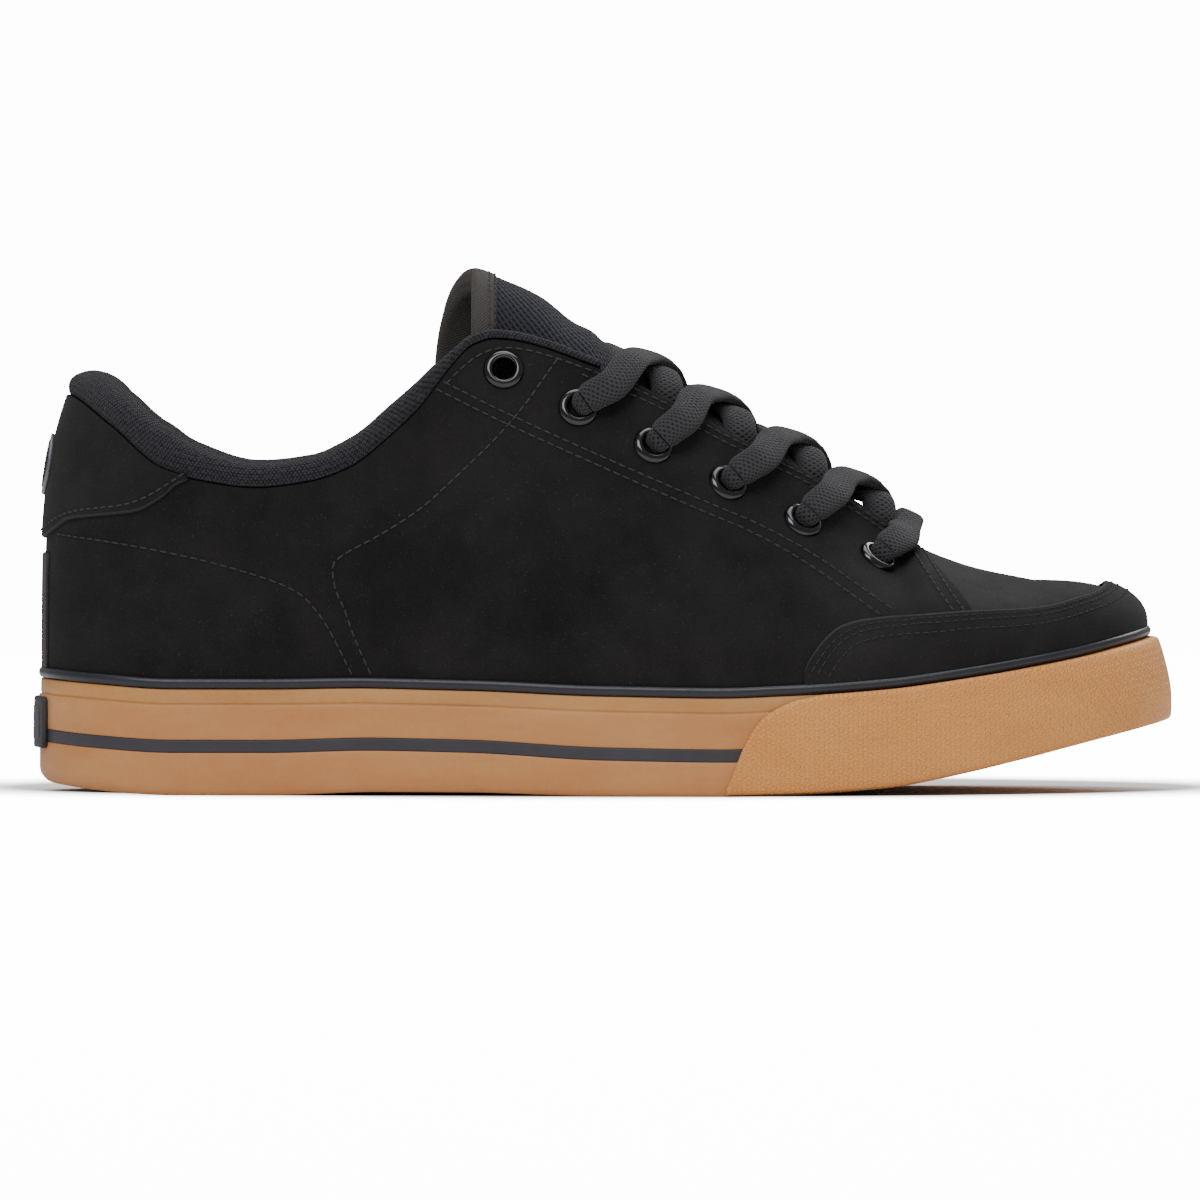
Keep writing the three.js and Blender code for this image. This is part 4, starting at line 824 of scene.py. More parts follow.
def whole_ring(step):
    """Columns right round the outline, with the same places on both sides."""
    spot, way = path("heel", 0.0, 3.0, step)
    p = np.clip(spot.p, 0.0, 3.0)
    both = Spot(np.concatenate([p, p[1:-1][::-1]]), np.concatenate([-np.ones(len(p)), np.ones(len(p) - 2)]))
    return both, np.concatenate([way, 2 * way[-1] - way[1:-1][::-1]])


ring, ring_way = whole_ring(1.6)
BELOW_LIP = 0.6 * LIP_DEPTH


def wall_share(mm_from_top):
    return 1 - mm_from_top / (wall(ring.x) * SOLE_HEIGHT)


def sole_rows():
    """Rows up the sole's side: share of the wall's height, and offset from the wall."""
    stripe_half = STRIPE_HEIGHT / 2 / (wall(ring.x) * SOLE_HEIGHT)
    low, high = stripe_share(ring.x) - stripe_half, stripe_share(ring.x) + stripe_half
    hair = 0.3 / (wall(ring.x) * SOLE_HEIGHT)
    lip = wall_share(LIP_HEIGHT)
    grow = lambda share: np.clip((share - high) / (lip - high), 0, 1) ** 2 * BELOW_LIP
    rows = [(0.0, -3.5), (0.0, -1.2), (0.006, -0.4), (0.022, -0.1)]
    rows += [(s, 0.0) for s in (0.05, 0.09, 0.14)]
    rows += [(0.14 + (low - 0.14) * s, 0.0) for s in (0.33, 0.66)]
    rows += [(low - hair, 0.0), (low, -0.12), (low + 0.3 * hair, -0.75)]
    rows += [(high - 0.3 * hair, -0.75), (high, -0.12), (high + hair, 0.0)]
    rises = [high + (lip - hair - high) * s for s in (0.3, 0.6, 0.85)]
    rows += [(share, grow(share)) for share in rises]
    rows += [(lip - hair, BELOW_LIP), (lip - 0.3 * hair, BELOW_LIP - 0.1)]
    rows += [(lip, BELOW_LIP - 0.65), (lip + 0.9 * hair, BELOW_LIP - 0.65)]
    rows += [(lip + 1.4 * hair, BELOW_LIP - 0.5), (lip + 2.4 * hair, BELOW_LIP - 0.4)]
    rows += [(lip + (1 - lip) * 0.6, BELOW_LIP - 0.4), (wall_share(0.5), BELOW_LIP - 0.45)]
    return rows + [(wall_share(0.12), BELOW_LIP - 0.62), (1.0, -1.0)]


# First of the sole's rows on its lip, and first above its underside
LIP_ROW, WALL_ROW = 22, 4


def ring_body(name, rows, material, closing_low, closing_high, replaces, lip=None):
    """A closed body from rows round the outline that end on the centre line."""
    spine_x, spine_y = ring.spine()
    low = np.stack([spine_x, spine_y, closing_low], -1)
    high = np.stack([spine_x, spine_y, closing_high], -1)
    grid = np.stack([low] + rows + [high])
    across = ways(grid)
    uv = np.stack([np.broadcast_to(ring_way, across.shape), across], -1) / 1000
    n, m = grid.shape[:2]
    obj = make(name, grid, grid_faces(n, m), material, uv, replaces=replaces)
    if lip:
        obj.data.materials.append(lip)
        obj.data.materials.append(TREAD)
        row = np.array([p.vertices[0] for p in obj.data.polygons]) // m
        index = np.where(row >= LIP_ROW, 1, np.where(row < WALL_ROW, 2, 0))
        obj.data.polygons.foreach_set("material_index", index.astype(np.int32))
    return weld(obj)


TREAD_DEPTH, TREAD_WIDTH, TREAD_PITCH, TREAD_ROUND = 1.4, 2.6, 12.5, 0.35
TREAD_MARGIN = 0.09 * BALL_WIDTH
side_rows = [
    ring.flat(-TREAD_MARGIN, under(ring.x) + TREAD_DEPTH),
    ring.flat(-TREAD_MARGIN, under(ring.x)),
]
side_rows += [sole_surface(ring, share, offset) for share, offset in sole_rows()]
well_top = ring.flat(-inset(ring.x) - SOLE_WALL, over(ring.x))
well_foot = ring.flat(-inset(ring.x) - SOLE_WALL, under(ring.x) + SOLE_FLOOR)
ring_body(
    "gum_sole", side_rows + [well_top, well_foot], GUM, under(ring.spine()[0]) + TREAD_DEPTH,
    under(ring.spine()[0]) + SOLE_FLOOR, ("outsole",), lip=GUM_LIP,
)


def tread_bars():
    """Bars across the underside, between the tread's grooves."""
    field = ring.flat(-TREAD_MARGIN - 0.2, 0 * ring.x)
    sides = []
    for side in (-1, 1):
        own = field[ring.side == side]
        sides.append(own[np.argsort(own[:, 0])])
    first, last = field[:, 0].min() + 0.8, field[:, 0].max() - 0.8
    starts = np.arange(0.055 * LENGTH - TREAD_PITCH, 0.9 * LENGTH + TREAD_PITCH, TREAD_PITCH) + TREAD_WIDTH
    points, faces = [], []
    for start in starts:
        low, high = max(start, first), min(start + TREAD_PITCH - TREAD_WIDTH, last)
        if high - low < 2:
            continue
        base = len(points)
        along = [(low, TREAD_ROUND), (low + TREAD_ROUND, 0.0)]
        along += [(x, 0.0) for x in np.linspace(low + TREAD_ROUND, high - TREAD_ROUND, 5)[1:-1]]
        along += [(high - TREAD_ROUND, 0.0), (high, TREAD_ROUND)]
        for x, raised in along:
            left, right = (np.interp(x, own[:, 0], own[:, 1]) for own in sides)
            left, right = min(left, right), max(left, right)
            foot = under(x)
            top = foot + TREAD_DEPTH + 0.2
            points.append((x, left, top))
            for y in np.linspace(left, right, 7):
                points.append((x, y, foot + raised + (TREAD_ROUND if y in (left, right) else 0.0)))
            points.append((x, right, top))
        count = 9
        for k in range(len(along) - 1):
            for i in range(count):
                a, b = base + k * count + i, base + k * count + (i + 1) % count
                faces.append((a, b, b + count, a + count))
        faces.append(tuple(base + i for i in range(count))[::-1])
        faces.append(tuple(base + (len(along) - 1) * count + i for i in range(count)))
    weld(make("tread_bars", points, faces, TREAD, smooth=False))


tread_bars()

foot_low, foot_high = under(ring.x) + SOLE_FLOOR + 0.3, under(ring.x) + SOLE_FLOOR + 0.3 + INSOLE_THICKNESS
foot_edge = -inset(ring.x) - SOLE_WALL - UPPER_WALL - 0.6
foot_rows = [
    ring.flat(foot_edge - 0.4, foot_low),
    ring.flat(foot_edge, foot_low + 0.6),
    ring.flat(foot_edge, foot_high - 1.2),
    ring.flat(foot_edge - 0.5, foot_high - 0.3),
    ring.flat(foot_edge - 1.4, foot_high),
    ring.flat(foot_edge - 7, foot_high - 0.5),
]
spine_x = ring.spine()[0]
ring_body(
    "footbed", foot_rows, INSOLE_CLOTH, under(spine_x) + SOLE_FLOOR + 0.3,
    under(spine_x) + SOLE_FLOOR + INSOLE_THICKNESS - 0.6, ("insole",),
)

# Dark bead between the sole and the upper
band_low, band_high = over(ring.x) + 0.12, band_over(ring.x) + 0.1
band_loop = []
for share, out in ((0, -0.55), (0.05, 0.0), (0.22, 0.35), (0.5, 0.5), (0.78, 0.35), (0.95, 0.0), (1, -0.55)):
    band_loop.append(ring.flat(-inset(ring.x) + out, band_low + (band_high - band_low) * share))
band_loop.append(ring.flat(-inset(ring.x) - 2.4, band_high))
band_loop.append(ring.flat(-inset(ring.x) - 2.4, band_low))
band_loop = np.stack(band_loop, 1)
band_uv = np.stack(np.broadcast_arrays(ring_way[:, None], np.arange(9) * 0.6), -1)
tube("band_bead", band_loop, DARK_RUBBER, band_uv / 1000, closed=True, replaces=("foxing_band",))

stripe_spot, stripe_way = path("heel", -2.0, 2.0, 1.6)
stripe_spot, stripe_way = some(stripe_spot, stripe_way, stripe_spot.x < 0.63 * LENGTH)
half_share = STRIPE_HEIGHT / 2 / (wall(stripe_spot.x) * SOLE_HEIGHT)
panel(
    "sole_stripe", stripe_spot, stripe_way, stripe_share(stripe_spot.x) - half_share * 0.96,
    stripe_share(stripe_spot.x) + half_share * 0.96, -0.02, -0.8, STRIPE_RUBBER, rows=14,
    surface=sole_surface, soft=0.35, power=1.0, replaces=("side_stripe",),
)

# Bumper round the toe
bumper_spot, bumper_way = path("toe", -1.99, 1.99, 0.7)
keep = (bumper_spot.x > 0.6035 * LENGTH) & (bumper_rear(bumper_spot.x) > 0.022)
bumper_spot, bumper_way = some(bumper_spot, bumper_way, keep)
bumper_low = 0.02 + 0 * bumper_spot.x
bumper_high = np.minimum(bumper_rear(bumper_spot.x), 0.996)
panel(
    "toe_bumper_skin", bumper_spot, bumper_way, bumper_low, bumper_high, BELOW_LIP + 2.1, 0.05, BUMPER,
    rows=34, surface=sole_surface, soft=1.3, power=1.0, replaces=("toe_bumper",),
)


def badge_part(name, half_wide, low_z, high_z, outer, inner, material, replaces=(), soft=0.5):
    """Plain badge on the heel's wall, with corners rounded off."""
    spot, way = path("heel", -0.6, 0.6, 0.5)
    y = from_middle(spot)
    spot, way, y = some(spot, way, np.abs(y) < half_wide, y)
    to_share = lambda z: (z - under(spot.x)) / (wall(spot.x) * SOLE_HEIGHT)
    corner = np.clip((np.abs(y) - half_wide + BADGE_CORNER) / BADGE_CORNER, 0, 1)
    round_off = BADGE_CORNER * (1 - np.sqrt(np.clip(1 - corner ** 2, 0, 1)))
    panel(
        name, spot, way, to_share(low_z + round_off), to_share(high_z - round_off), outer, inner, material,
        rows=24, surface=sole_surface, soft=soft, power=1.0, replaces=replaces,
    )


BADGE_CORNER = 1.6
badge_part("heel_badge_block", 16.0, 11.9, 25.5, 1.6, 0.05, BADGE_RUBBER, ("heel_badge",))
badge_part("heel_badge_field", 13.6, 14.2, 23.2, 1.75, 1.3, STRIPE_RUBBER, soft=0.3)


# EYELETS
def mid_spot(x, side):
    return Spot(1 + (np.asarray(x, float) - HEEL_X) / (TOE_X - HEEL_X), side)


def point_at(x, z, side, offset=0.0):
    spot = mid_spot(x, side)
    return spot.section(turn_at(spot, np.asarray(z, float), offset), offset)


def unit(v):
    return v / np.linalg.norm(v, axis=-1, keepdims=True)


EYELET_RADIUS, EYELET_HOLE, EYELET_COUNT = 5.3, 3.1, 6


def eyelet_seat(number, side):
    share = (number - 1) / (EYELET_COUNT - 1)
    x = (0.411 + (0.74 - 0.411) * share) * LENGTH
    z = INSTEP_HEIGHT - (8.2 + (58.1 - 8.2) * share)
    r = EYELET_RADIUS * 0.8
    centre = point_at(x, z, side)
    east = unit(point_at(x + r, z, side) - point_at(x - r, z, side))
    normal = unit(np.cross(east, point_at(x, z + r, side) - point_at(x, z - r, side)))
    normal = normal if normal[1] * side > 0 else -normal
    dx, dz = np.meshgrid(np.linspace(-6, 6, 25), np.linspace(-6, 6, 25))
    near = point_at(x + dx, z + dz, side) - centre
    high = near @ normal
    flat = np.linalg.norm(near - high[..., None] * normal, axis=-1)
    lifted = max(0.0, high[flat < EYELET_RADIUS].max())
    return centre + normal * lifted, normal, east, np.cross(normal, east)


seats = {(n, s): eyelet_seat(n, s) for s in (-1, 1) for n in range(1, EYELET_COUNT + 1)}
EYELET_PROFILE = [
    (3.05, -2.4), (3.0, -0.4), (3.0, 0.5), (3.12, 0.9), (3.4, 1.18), (3.85, 1.3), (4.35, 1.2), (4.85, 0.92),
    (5.2, 0.55), (5.4, 0.2), (5.45, 0.02), (5.0, -0.12), (3.7, -0.12), (3.6, -2.4),
]


def eyelet_side(side):
    count = 40
    points, faces, uvs = [], [], []
    for number in range(1, EYELET_COUNT + 1):
        centre, normal, east, north = seats[number, side]
        start = len(points)
        for k in range(count):
            turn = 2 * math.pi * k / count
            way = east * math.cos(turn) + north * math.sin(turn)
            for j, (radius, height) in enumerate(EYELET_PROFILE):
                points.append(centre + way * radius + normal * height)
                uvs.append((turn * 4, j))
        faces += grid_faces(count, len(EYELET_PROFILE), True, True, start)
    label = "outer" if side < 0 else "inner"
    names = [f"eyelet_{label}_{n}" for n in range(1, EYELET_COUNT + 1)]
    weld(make(f"eyelets_{label}", points, faces, EYELET_METAL, np.array(uvs) / 1000, replaces=names), 1e-7)


eyelet_side(-1)
eyelet_side(1)


def open_holes(obj, radius=4.1, reach=8.0):
    """Takes away the faces under each eyelet's flange, so that its bore is open."""
    bm = bmesh.new()
    bm.from_mesh(obj.data)
    bm.faces.ensure_lookup_table()
    at = np.array([tuple(face.calc_center_median()) for face in bm.faces])
    doomed = np.zeros(len(at), bool)
    for centre, normal, _, _ in seats.values():
        away = at - (centre - SHIFT) / 1000
        high = away @ normal
        flat = np.linalg.norm(away - high[:, None] * normal, axis=1)
        doomed |= (np.abs(high) < reach / 1000) & (flat < radius / 1000)
    bmesh.ops.delete(bm, geom=[bm.faces[i] for i in np.flatnonzero(doomed)], context="FACES")
    bm.to_mesh(obj.data)
    bm.free()


for obj in (quarter, lining, vamp_lining, vamp):
    open_holes(obj)


# PADDED COLLAR
collar_rise, collar_thick, collar_depth = curves(COLLAR, "rise thick depth")


def smooth_loop(points, per=4):
    """Closed curve through a loop of points."""
    n = len(points)
    made = []
    for i in range(n):
        p0, p1, p2, p3 = (points[(i + k) % n] for k in (-1, 0, 1, 2))
        for j in range(per):
            t = j / per
            square, cube = 2 * p0 - 5 * p1 + 4 * p2 - p3, 3 * p1 - p0 - 3 * p2 + p3
            made.append(0.5 * (2 * p1 + (p2 - p0) * t + square * t * t + cube * t ** 3))
    return made


def collar_loops(spot):
    """Sections of the padded collar, over the upper's edge and down its inside."""
    cx, cy = spot.spine()
    fx, fy = spot.outline(0.0)
    facing = unit(np.stack([fx - cx, fy - cy], -1))
    reach = lambda pts: np.hypot(pts[..., 0] - cx, pts[..., 1] - cy)
    edge_turn = np.minimum(top_turn(spot), np.where(spot.x >= THROAT_REAR, throat_turn(spot), 9))
    edge = spot.section(edge_turn)
    x, z = edge[:, 0], edge[:, 2]
    up, deep = collar_rise(x) * HEEL_HEIGHT, collar_depth(x) * HEEL_HEIGHT
    outer = reach(edge)
    inside = lambda dz: reach(spot.section(turn_at(spot, z + dz, -UPPER_WALL), -UPPER_WALL)) - 0.6
    pad = collar_thick(x) * HEEL_HEIGHT - UPPER_WALL - CLEARANCE
    inner = inside(0 * z) - pad
    width = outer - inner
    slim = np.minimum(0.9, pad * 0.6)
    rows = [
        (outer - 0.2, 0.15 + 0 * up),
        (outer + 0.1 * up, 0.32 * up),
        (outer + 0.02 * up, 0.66 * up),
        (outer - 0.14 * width, 0.9 * up),
        (outer - 0.42 * width, 1.02 * up),
        (outer - 0.72 * width, 0.86 * up),
        (inner + 0.05 * width, 0.5 * up),
        (inner, 0.0 * up),
        (inside(-0.45 * deep) - pad, -0.45 * deep),
        (inside(-0.8 * deep) - pad * 0.55, -0.8 * deep),
        (inside(-deep) - slim, -deep),
        (inside(-deep) - 0.1, -deep),
        (inside(-0.5 * deep), -0.5 * deep),
        (inside(0 * z), 0 * up),
    ]
    loops = []
    for i in range(len(x)):
        points = [
            np.array([cx[i] + facing[i, 0] * s[i], cy[i] + facing[i, 1] * s[i], z[i] + dz[i]])
            for s, dz in rows
        ]
        loops.append(smooth_loop(points))
    return np.array(loops)


front_q = 1 + (0.496 * LENGTH - HEEL_X) / (TOE_X - HEEL_X)
collar_spot, collar_way = path("heel", -front_q, front_q, 1.3)
loops = collar_loops(collar_spot)
around = ways(loops, 1)
collar_uv = np.stack([np.broadcast_to(collar_way[:, None], around.shape), around], -1) / 1000
collar = tube("knit_collar", loops, COLLAR_KNIT, collar_uv, replaces=("collar",))


# TONGUE
TONGUE = table("x tongue instep toe half foot thick", [
    (0.347, 1, 0, 0, 0.8, 0.3, 1.0), (0.375, 1, 0, 0, 0.8, 0.3, 1.0),
    (0.42, 0.77, 0.23, 0, 0.78, 0.3, 1.0), (0.445, 0.57, 0.43, 0, 0.79, 0.28, 1.0),
    (0.467, 0.27, 0.73, 0, 0.8, 0.25, 0.9), (0.49, 0, 0.965, 0.035, 0.81, 0.2, 0.8),
    (0.51, 0, 0.83, 0.17, 0.82, 0.18, 0.7), (0.54, 0, 0.71, 0.29, 0.82, 0.17, 0.65),
    (0.62, 0, 0.51, 0.49, 0.82, 0.14, 0.55), (0.69, 0, 0.335, 0.665, 0.8, 0.11, 0.5),
    (0.74, 0, 0.155, 0.845, 0.72, 0.075, 0.4), (0.77, 0, 0.04, 0.96, 0.6, 0.055, 0.35),
    (0.81, 0, 0.0, 0.97, 0.45, 0.04, 0.35),
])
tongue_crown, tongue_half, tongue_foot, tongue_thick = curves(TONGUE, "z half foot thick")
RIM_X = 0.382 * LENGTH
RIM_SKEW = 0.034 * LENGTH
BINDING = 0.0245 * LENGTH
TONGUE_THICKNESS = 6.0
# How far the tongue stands over the eyestays, and how much less towards the toe
TONGUE_LIFT, TONGUE_SINK = 2.9, 1.3


def hump(x, middle, width):
    return math.exp(-(((x - middle) / width) ** 2))


def full_crown(x):
    """The tongue's middle line, which stands a little over the eyestays between the laces."""
    fade = np.clip((x - 0.695 * LENGTH) / (0.065 * LENGTH), 0, 1)
    lower = TONGUE_SINK * np.clip((x - 190) / 20, 0, 1)
    lifted = last_z(x) + TONGUE_LIFT - lower + 0.6 * hump(x, 152, 6)
    crown = tongue_crown(x)
    near = np.clip(lifted - crown, 0, None) if x > 0.49 * LENGTH else 0.0
    return crown + 4.0 * hump(x, 148.5, 5.0) + near * (1 - fade * fade * (3 - 2 * fade))


def tongue_arch(x, inside, turns):
    crown = full_crown(x)
    foot = tongue_crown(x) - tongue_foot(x) * INSTEP_HEIGHT
    made = []
    for side in (-1, 1):
        at = point_at(x, min(foot, crest(x) - 6), side, -UPPER_WALL)
        made.append(tongue_half(x) * abs(at[1] - centre_y(x)) - inside)
    side = np.where(turns < 0, -1, 1)
    half = np.where(turns < 0, made[0], made[1])
    s = np.abs(np.sin(turns)) ** 0.9
    z = foot + (crown - inside - foot) * np.clip(np.cos(turns), 0, 1) ** 0.85
    past = np.clip((0.47 * LENGTH - x) / (0.47 * LENGTH - RIM_X), 0, 1)
    skew = np.where(side > 0, RIM_SKEW * s * past, 0)
    return np.stack([x - skew, centre_y(x) + side * s * half, z], -1)


def tongue_layer(name, xs, outer, inner, material, replaces=(), steps=44):
    """A curved sheet of the tongue between two depths under its top."""
    loops, uvs = [], []
    for i, x in enumerate(xs):
        turns = np.linspace(-1, 1, steps) * (math.pi / 2)
        thick = tongue_thick(x) * TONGUE_THICKNESS
        end = min(i, len(xs) - 1 - i)
        thin = (0.5, 0.18, 0.04, 0.0)[min(end, 3)]
        gap = (inner(thick) - outer(thick)) * thin
        top = tongue_arch(x, outer(thick) + gap, turns)
        back = tongue_arch(x, inner(thick) - gap, turns[::-1])
        loops.append(np.concatenate([top, back]))
        way = ways(top)
        across = np.concatenate([way, way[::-1] + 200])
        uvs.append(np.stack([np.full(2 * steps, x * 1.25), across], -1))
    return tube(name, loops, material, np.array(uvs) / 1000, replaces=replaces)


def stations(start, end, count, edge=(0.0, 0.25, 0.8)):
    middle = np.linspace(start + edge[-1], end - edge[-1], count)[1:-1]
    return np.concatenate([start + np.array(edge), middle, end - np.array(edge)[::-1]])


front_x = stations(RIM_X + BINDING * 0.72, 0.805 * LENGTH, 90)
tongue = tongue_layer("tongue_front", front_x, lambda t: 0.0, lambda t: 0.45 * t, MESH_CLOTH, ("tongue",))
back_x = stations(RIM_X + BINDING * 0.6, 0.8 * LENGTH, 60)
tongue_layer("tongue_back", back_x, lambda t: 0.47 * t, lambda t: t, LINING_CLOTH)
rim_x = stations(RIM_X, RIM_X + BINDING, 10)
tongue_layer(
    "rim_binding", rim_x, lambda t: -0.5, lambda t: t + 0.4, TAPE_CLOTH, ("tongue_binding",)
)


# LACES
LACE_WIDTH, LACE_THICKNESS = 9.0, 3.3


def catmull(points, t):
    """Centripetal curve through points, with t from 0 to 1 in equal steps per point."""
    n = len(points)
    place = (n - 1) * t
    i = min(int(place), n - 2)
    w = place - i
    p1, p2 = points[i], points[i + 1]
    p0 = points[i - 1] if i > 0 else 2 * points[0] - points[1]
    p3 = points[i + 2] if i + 2 < n else 2 * points[-1] - points[-2]
    d0, d1, d2 = (max(np.linalg.norm(b - a), 1e-6) ** 0.5 for a, b in ((p0, p1), (p1, p2), (p2, p3)))
    m1 = ((p1 - p0) / d0 - (p2 - p0) / (d0 + d1) + (p2 - p1) / d1) * d1
    m2 = ((p2 - p1) / d1 - (p3 - p1) / (d1 + d2) + (p3 - p2) / d2) * d1
    w2, w3 = w * w, w * w * w
    return (2 * w3 - 3 * w2 + 1) * p1 + (w3 - 2 * w2 + w) * m1 + (3 * w2 - 2 * w3) * p2 + (w3 - w2) * m2


def edge_near(number, side):
    """The eyestay's edge where it comes nearest to an eyelet."""
    centre = seats[number, side][0]
    xs = np.minimum(np.linspace(centre[0], centre[0] + 18, 80), THROAT_TAPER)
    spot = mid_spot(xs, side)
    points = spot.section(throat_turn(spot))
    return points[np.argmin(np.linalg.norm(points - centre, axis=1))]


def lace(name, stops, replaces=(), steps=12, ring_count=28):
    """A soft flat cord through stops of place, up direction, width and thickness."""
    points = [np.array(s[0], float) for s in stops]
    count = (len(stops) - 1) * steps
    loops, uvs, way, before = [], [], 0.0, None
    for k in range(count + 1):
        t = k / count
        span = t * (len(stops) - 1)
        i = min(int(span), len(stops) - 2)
        u = span - i
        u = u * u * (3 - 2 * u)
        centre = catmull(points, t)
        ahead = catmull(points, min(1.0, t + 1e-3)) - catmull(points, max(0.0, t - 1e-3))
        tangent = unit(ahead)
        up = stops[i][1] * (1 - u) + stops[i + 1][1] * u
        up = unit(up - tangent * (up @ tangent))
        wide = np.cross(tangent, up)
        half = (stops[i][2] * (1 - u) + stops[i + 1][2] * u) / 2
        tall = (stops[i][3] * (1 - u) + stops[i + 1][3] * u) / 2
        way += 0 if before is None else np.linalg.norm(centre - before)
        before = centre
        turns = 2 * math.pi * np.arange(ring_count) / ring_count
        c, s = np.cos(turns), np.sin(turns)
        flat = np.sign(c) * np.abs(c) ** 0.8
        thick = np.sign(s) * np.abs(s) ** 0.9 * (1 + 0.06 * np.cos(2 * turns))
        loops.append(centre + flat[:, None] * half * wide + thick[:, None] * tall * up)
        uvs.append(np.stack([np.full(ring_count, way), np.arange(ring_count) * 20.5 / ring_count], -1))
    tube(name, loops, LACE_CLOTH, np.array(uvs) / 1000, replaces=replaces)


def edge_ahead(number, side, ahead):
    """The eyestay's edge a way in front of an eyelet."""
    x = min(seats[number, side][0][0] + ahead, 0.765 * LENGTH)
    spot = mid_spot(np.array([x]), side)
    return spot.section(throat_turn(spot))[0]


def over_at(number, side):
    """Way towards the toe from an eyelet to where its cord crosses the throat's edge."""
    outer, inner = (14.0, 11.5, 12.5, 10.5, 9.5), (9.0, 10.5, 9.5, 11.8, 9.0)
    return (outer if side < 0 else inner)[number - 2]


def from_eyelet(number, side):
    """Stops of a cord out of an eyelet and over its flange."""
    centre, normal = seats[number, side][:2]
    over_to = edge_ahead(number, side, over_at(number, side)) - centre
    out = lambda height, along: centre + normal * height + over_to * along
    return [
        (out(-0.9, 0.0), unit(over_to), EYELET_HOLE * 1.75, 2.4),
        (out(1.7, 0.05), unit(over_to + normal * 3), LACE_WIDTH * 0.74, 2.8),
        (out(3.5, 0.24), normal, LACE_WIDTH * 0.95, LACE_THICKNESS),
        (out(4.4, 0.6), normal, LACE_WIDTH, LACE_THICKNESS),
    ]


def over_edge(lip, side, lifted):
    up = unit(np.array([0.25, side * 0.5, 1.0]))
    return (lip + np.array([0, -side * 2.0, lifted]), up, LACE_WIDTH, LACE_THICKNESS)


# Stops of a cord on its way across: share of the way, lift, shift towards the toe, and tilt
OVER = [
    (0.28, 7.9, -0.8, -0.4),
    (0.46, 8.7, 0.0, 0.0),
    (0.6, 7.4, 1.0, 0.3),
    (0.7, 5.0, 1.8, 0.7),
    (0.82, 1.8, 1.6, 1.2),
]
UNDER = [
    (0.3, 4.4, -0.6, -0.3),
    (0.5, 3.9, 0.0, 0.0),
    (0.64, 5.0, 1.2, 0.4),
    (0.76, 3.8, 2.0, 1.0),
    (0.86, 0.8, 1.4, 1.6),
]


def strand(number, side, rows):
    """From one eyelet, over the throat's edge and across to under the other edge at the next eyelet."""
    near, far = edge_ahead(number, side, over_at(number, side)), edge_near(number + 1, -side)
    lower = 0.6 * (number - 2)
    at = lambda share, lifted, ahead: near + (far - near) * share + np.array([ahead, 0, lifted])
    outwards = lambda tilt: unit(np.array([0.3, -side * tilt, 1.0]))
    across = [
        (at(share, level - lower, ahead), outwards(tilt), LACE_WIDTH, LACE_THICKNESS)
        for share, level, ahead, tilt in rows
    ]
    last = (at(0.9, -4.0, 0.8), outwards(2.5), LACE_WIDTH, 2.4)
    return from_eyelet(number, side) + [over_edge(near, side, 5.2 - lower)] + across + [last]


for number in range(2, 6):
    lace(f"lace_over_{number - 1}", strand(number, -1, OVER), (f"lace_cross_{number - 1}",))
    lace(f"lace_under_{number - 1}", strand(number, 1, UNDER))
ends = [from_eyelet(6, s) + [over_edge(edge_ahead(6, s, over_at(6, s)), s, 4.0)] for s in (-1, 1)]
middle_place = (ends[0][4][0] + ends[1][4][0]) / 2 + np.array([1.6, 0, 2.4])
middle_stop = (middle_place, unit(np.array([0.42, 0.0, 0.9])), LACE_WIDTH * 0.86, LACE_THICKNESS)
lace("lace_straight", ends[0] + [middle_stop] + ends[1][::-1], ("lace_bar",))


# STITCHES
def mm(*pixels):
    """Side-view places in millimetres from places read off the picture."""
    return np.array([((x - HEEL_PIXEL) * MM_PER_PIXEL, (GROUND_PIXEL - y) * MM_PER_PIXEL) for x, y in pixels])


def spaced(points, pitch):
    """Both ends of the gap between stitches, a pitch apart along a row."""
    way = ways(points)
    count = max(1, int(way[-1] / pitch))
    want = (np.arange(count) + 0.5) * way[-1] / count
    near = lambda w: np.stack([np.interp(w, way, points[:, k]) for k in range(points.shape[1])], -1)
    return near(want - 0.35), near(want + 0.35)


def rounded(points, rounds=2):
    for _ in range(rounds):
        cut = [points[0]]
        for a, b in zip(points[:-1], points[1:]):
            cut += [a * 0.75 + b * 0.25, a * 0.25 + b * 0.75]
        points = np.array(cut + [points[-1]])
    return points


def drawn_row(points, side, offset):
    """A row on the surface along a line drawn in side view."""
    line = rounded(points)
    way = ways(line)
    want = np.linspace(0, way[-1], max(3, int(way[-1] / 1.2)))
    x, z = np.interp(want, way, line[:, 0]), np.interp(want, way, line[:, 1])
    return on_side(x, z, side, offset)


def climb(spot, height, offset):
    """The surface's point a way up each column."""
    turns = fan(160, 1.3)
    length = ways(spot.fanned().section(turns, offset), 1)
    t = np.array([np.interp(h, row, turns[0]) for h, row in zip(height, length)])
    return spot.section(t, offset)


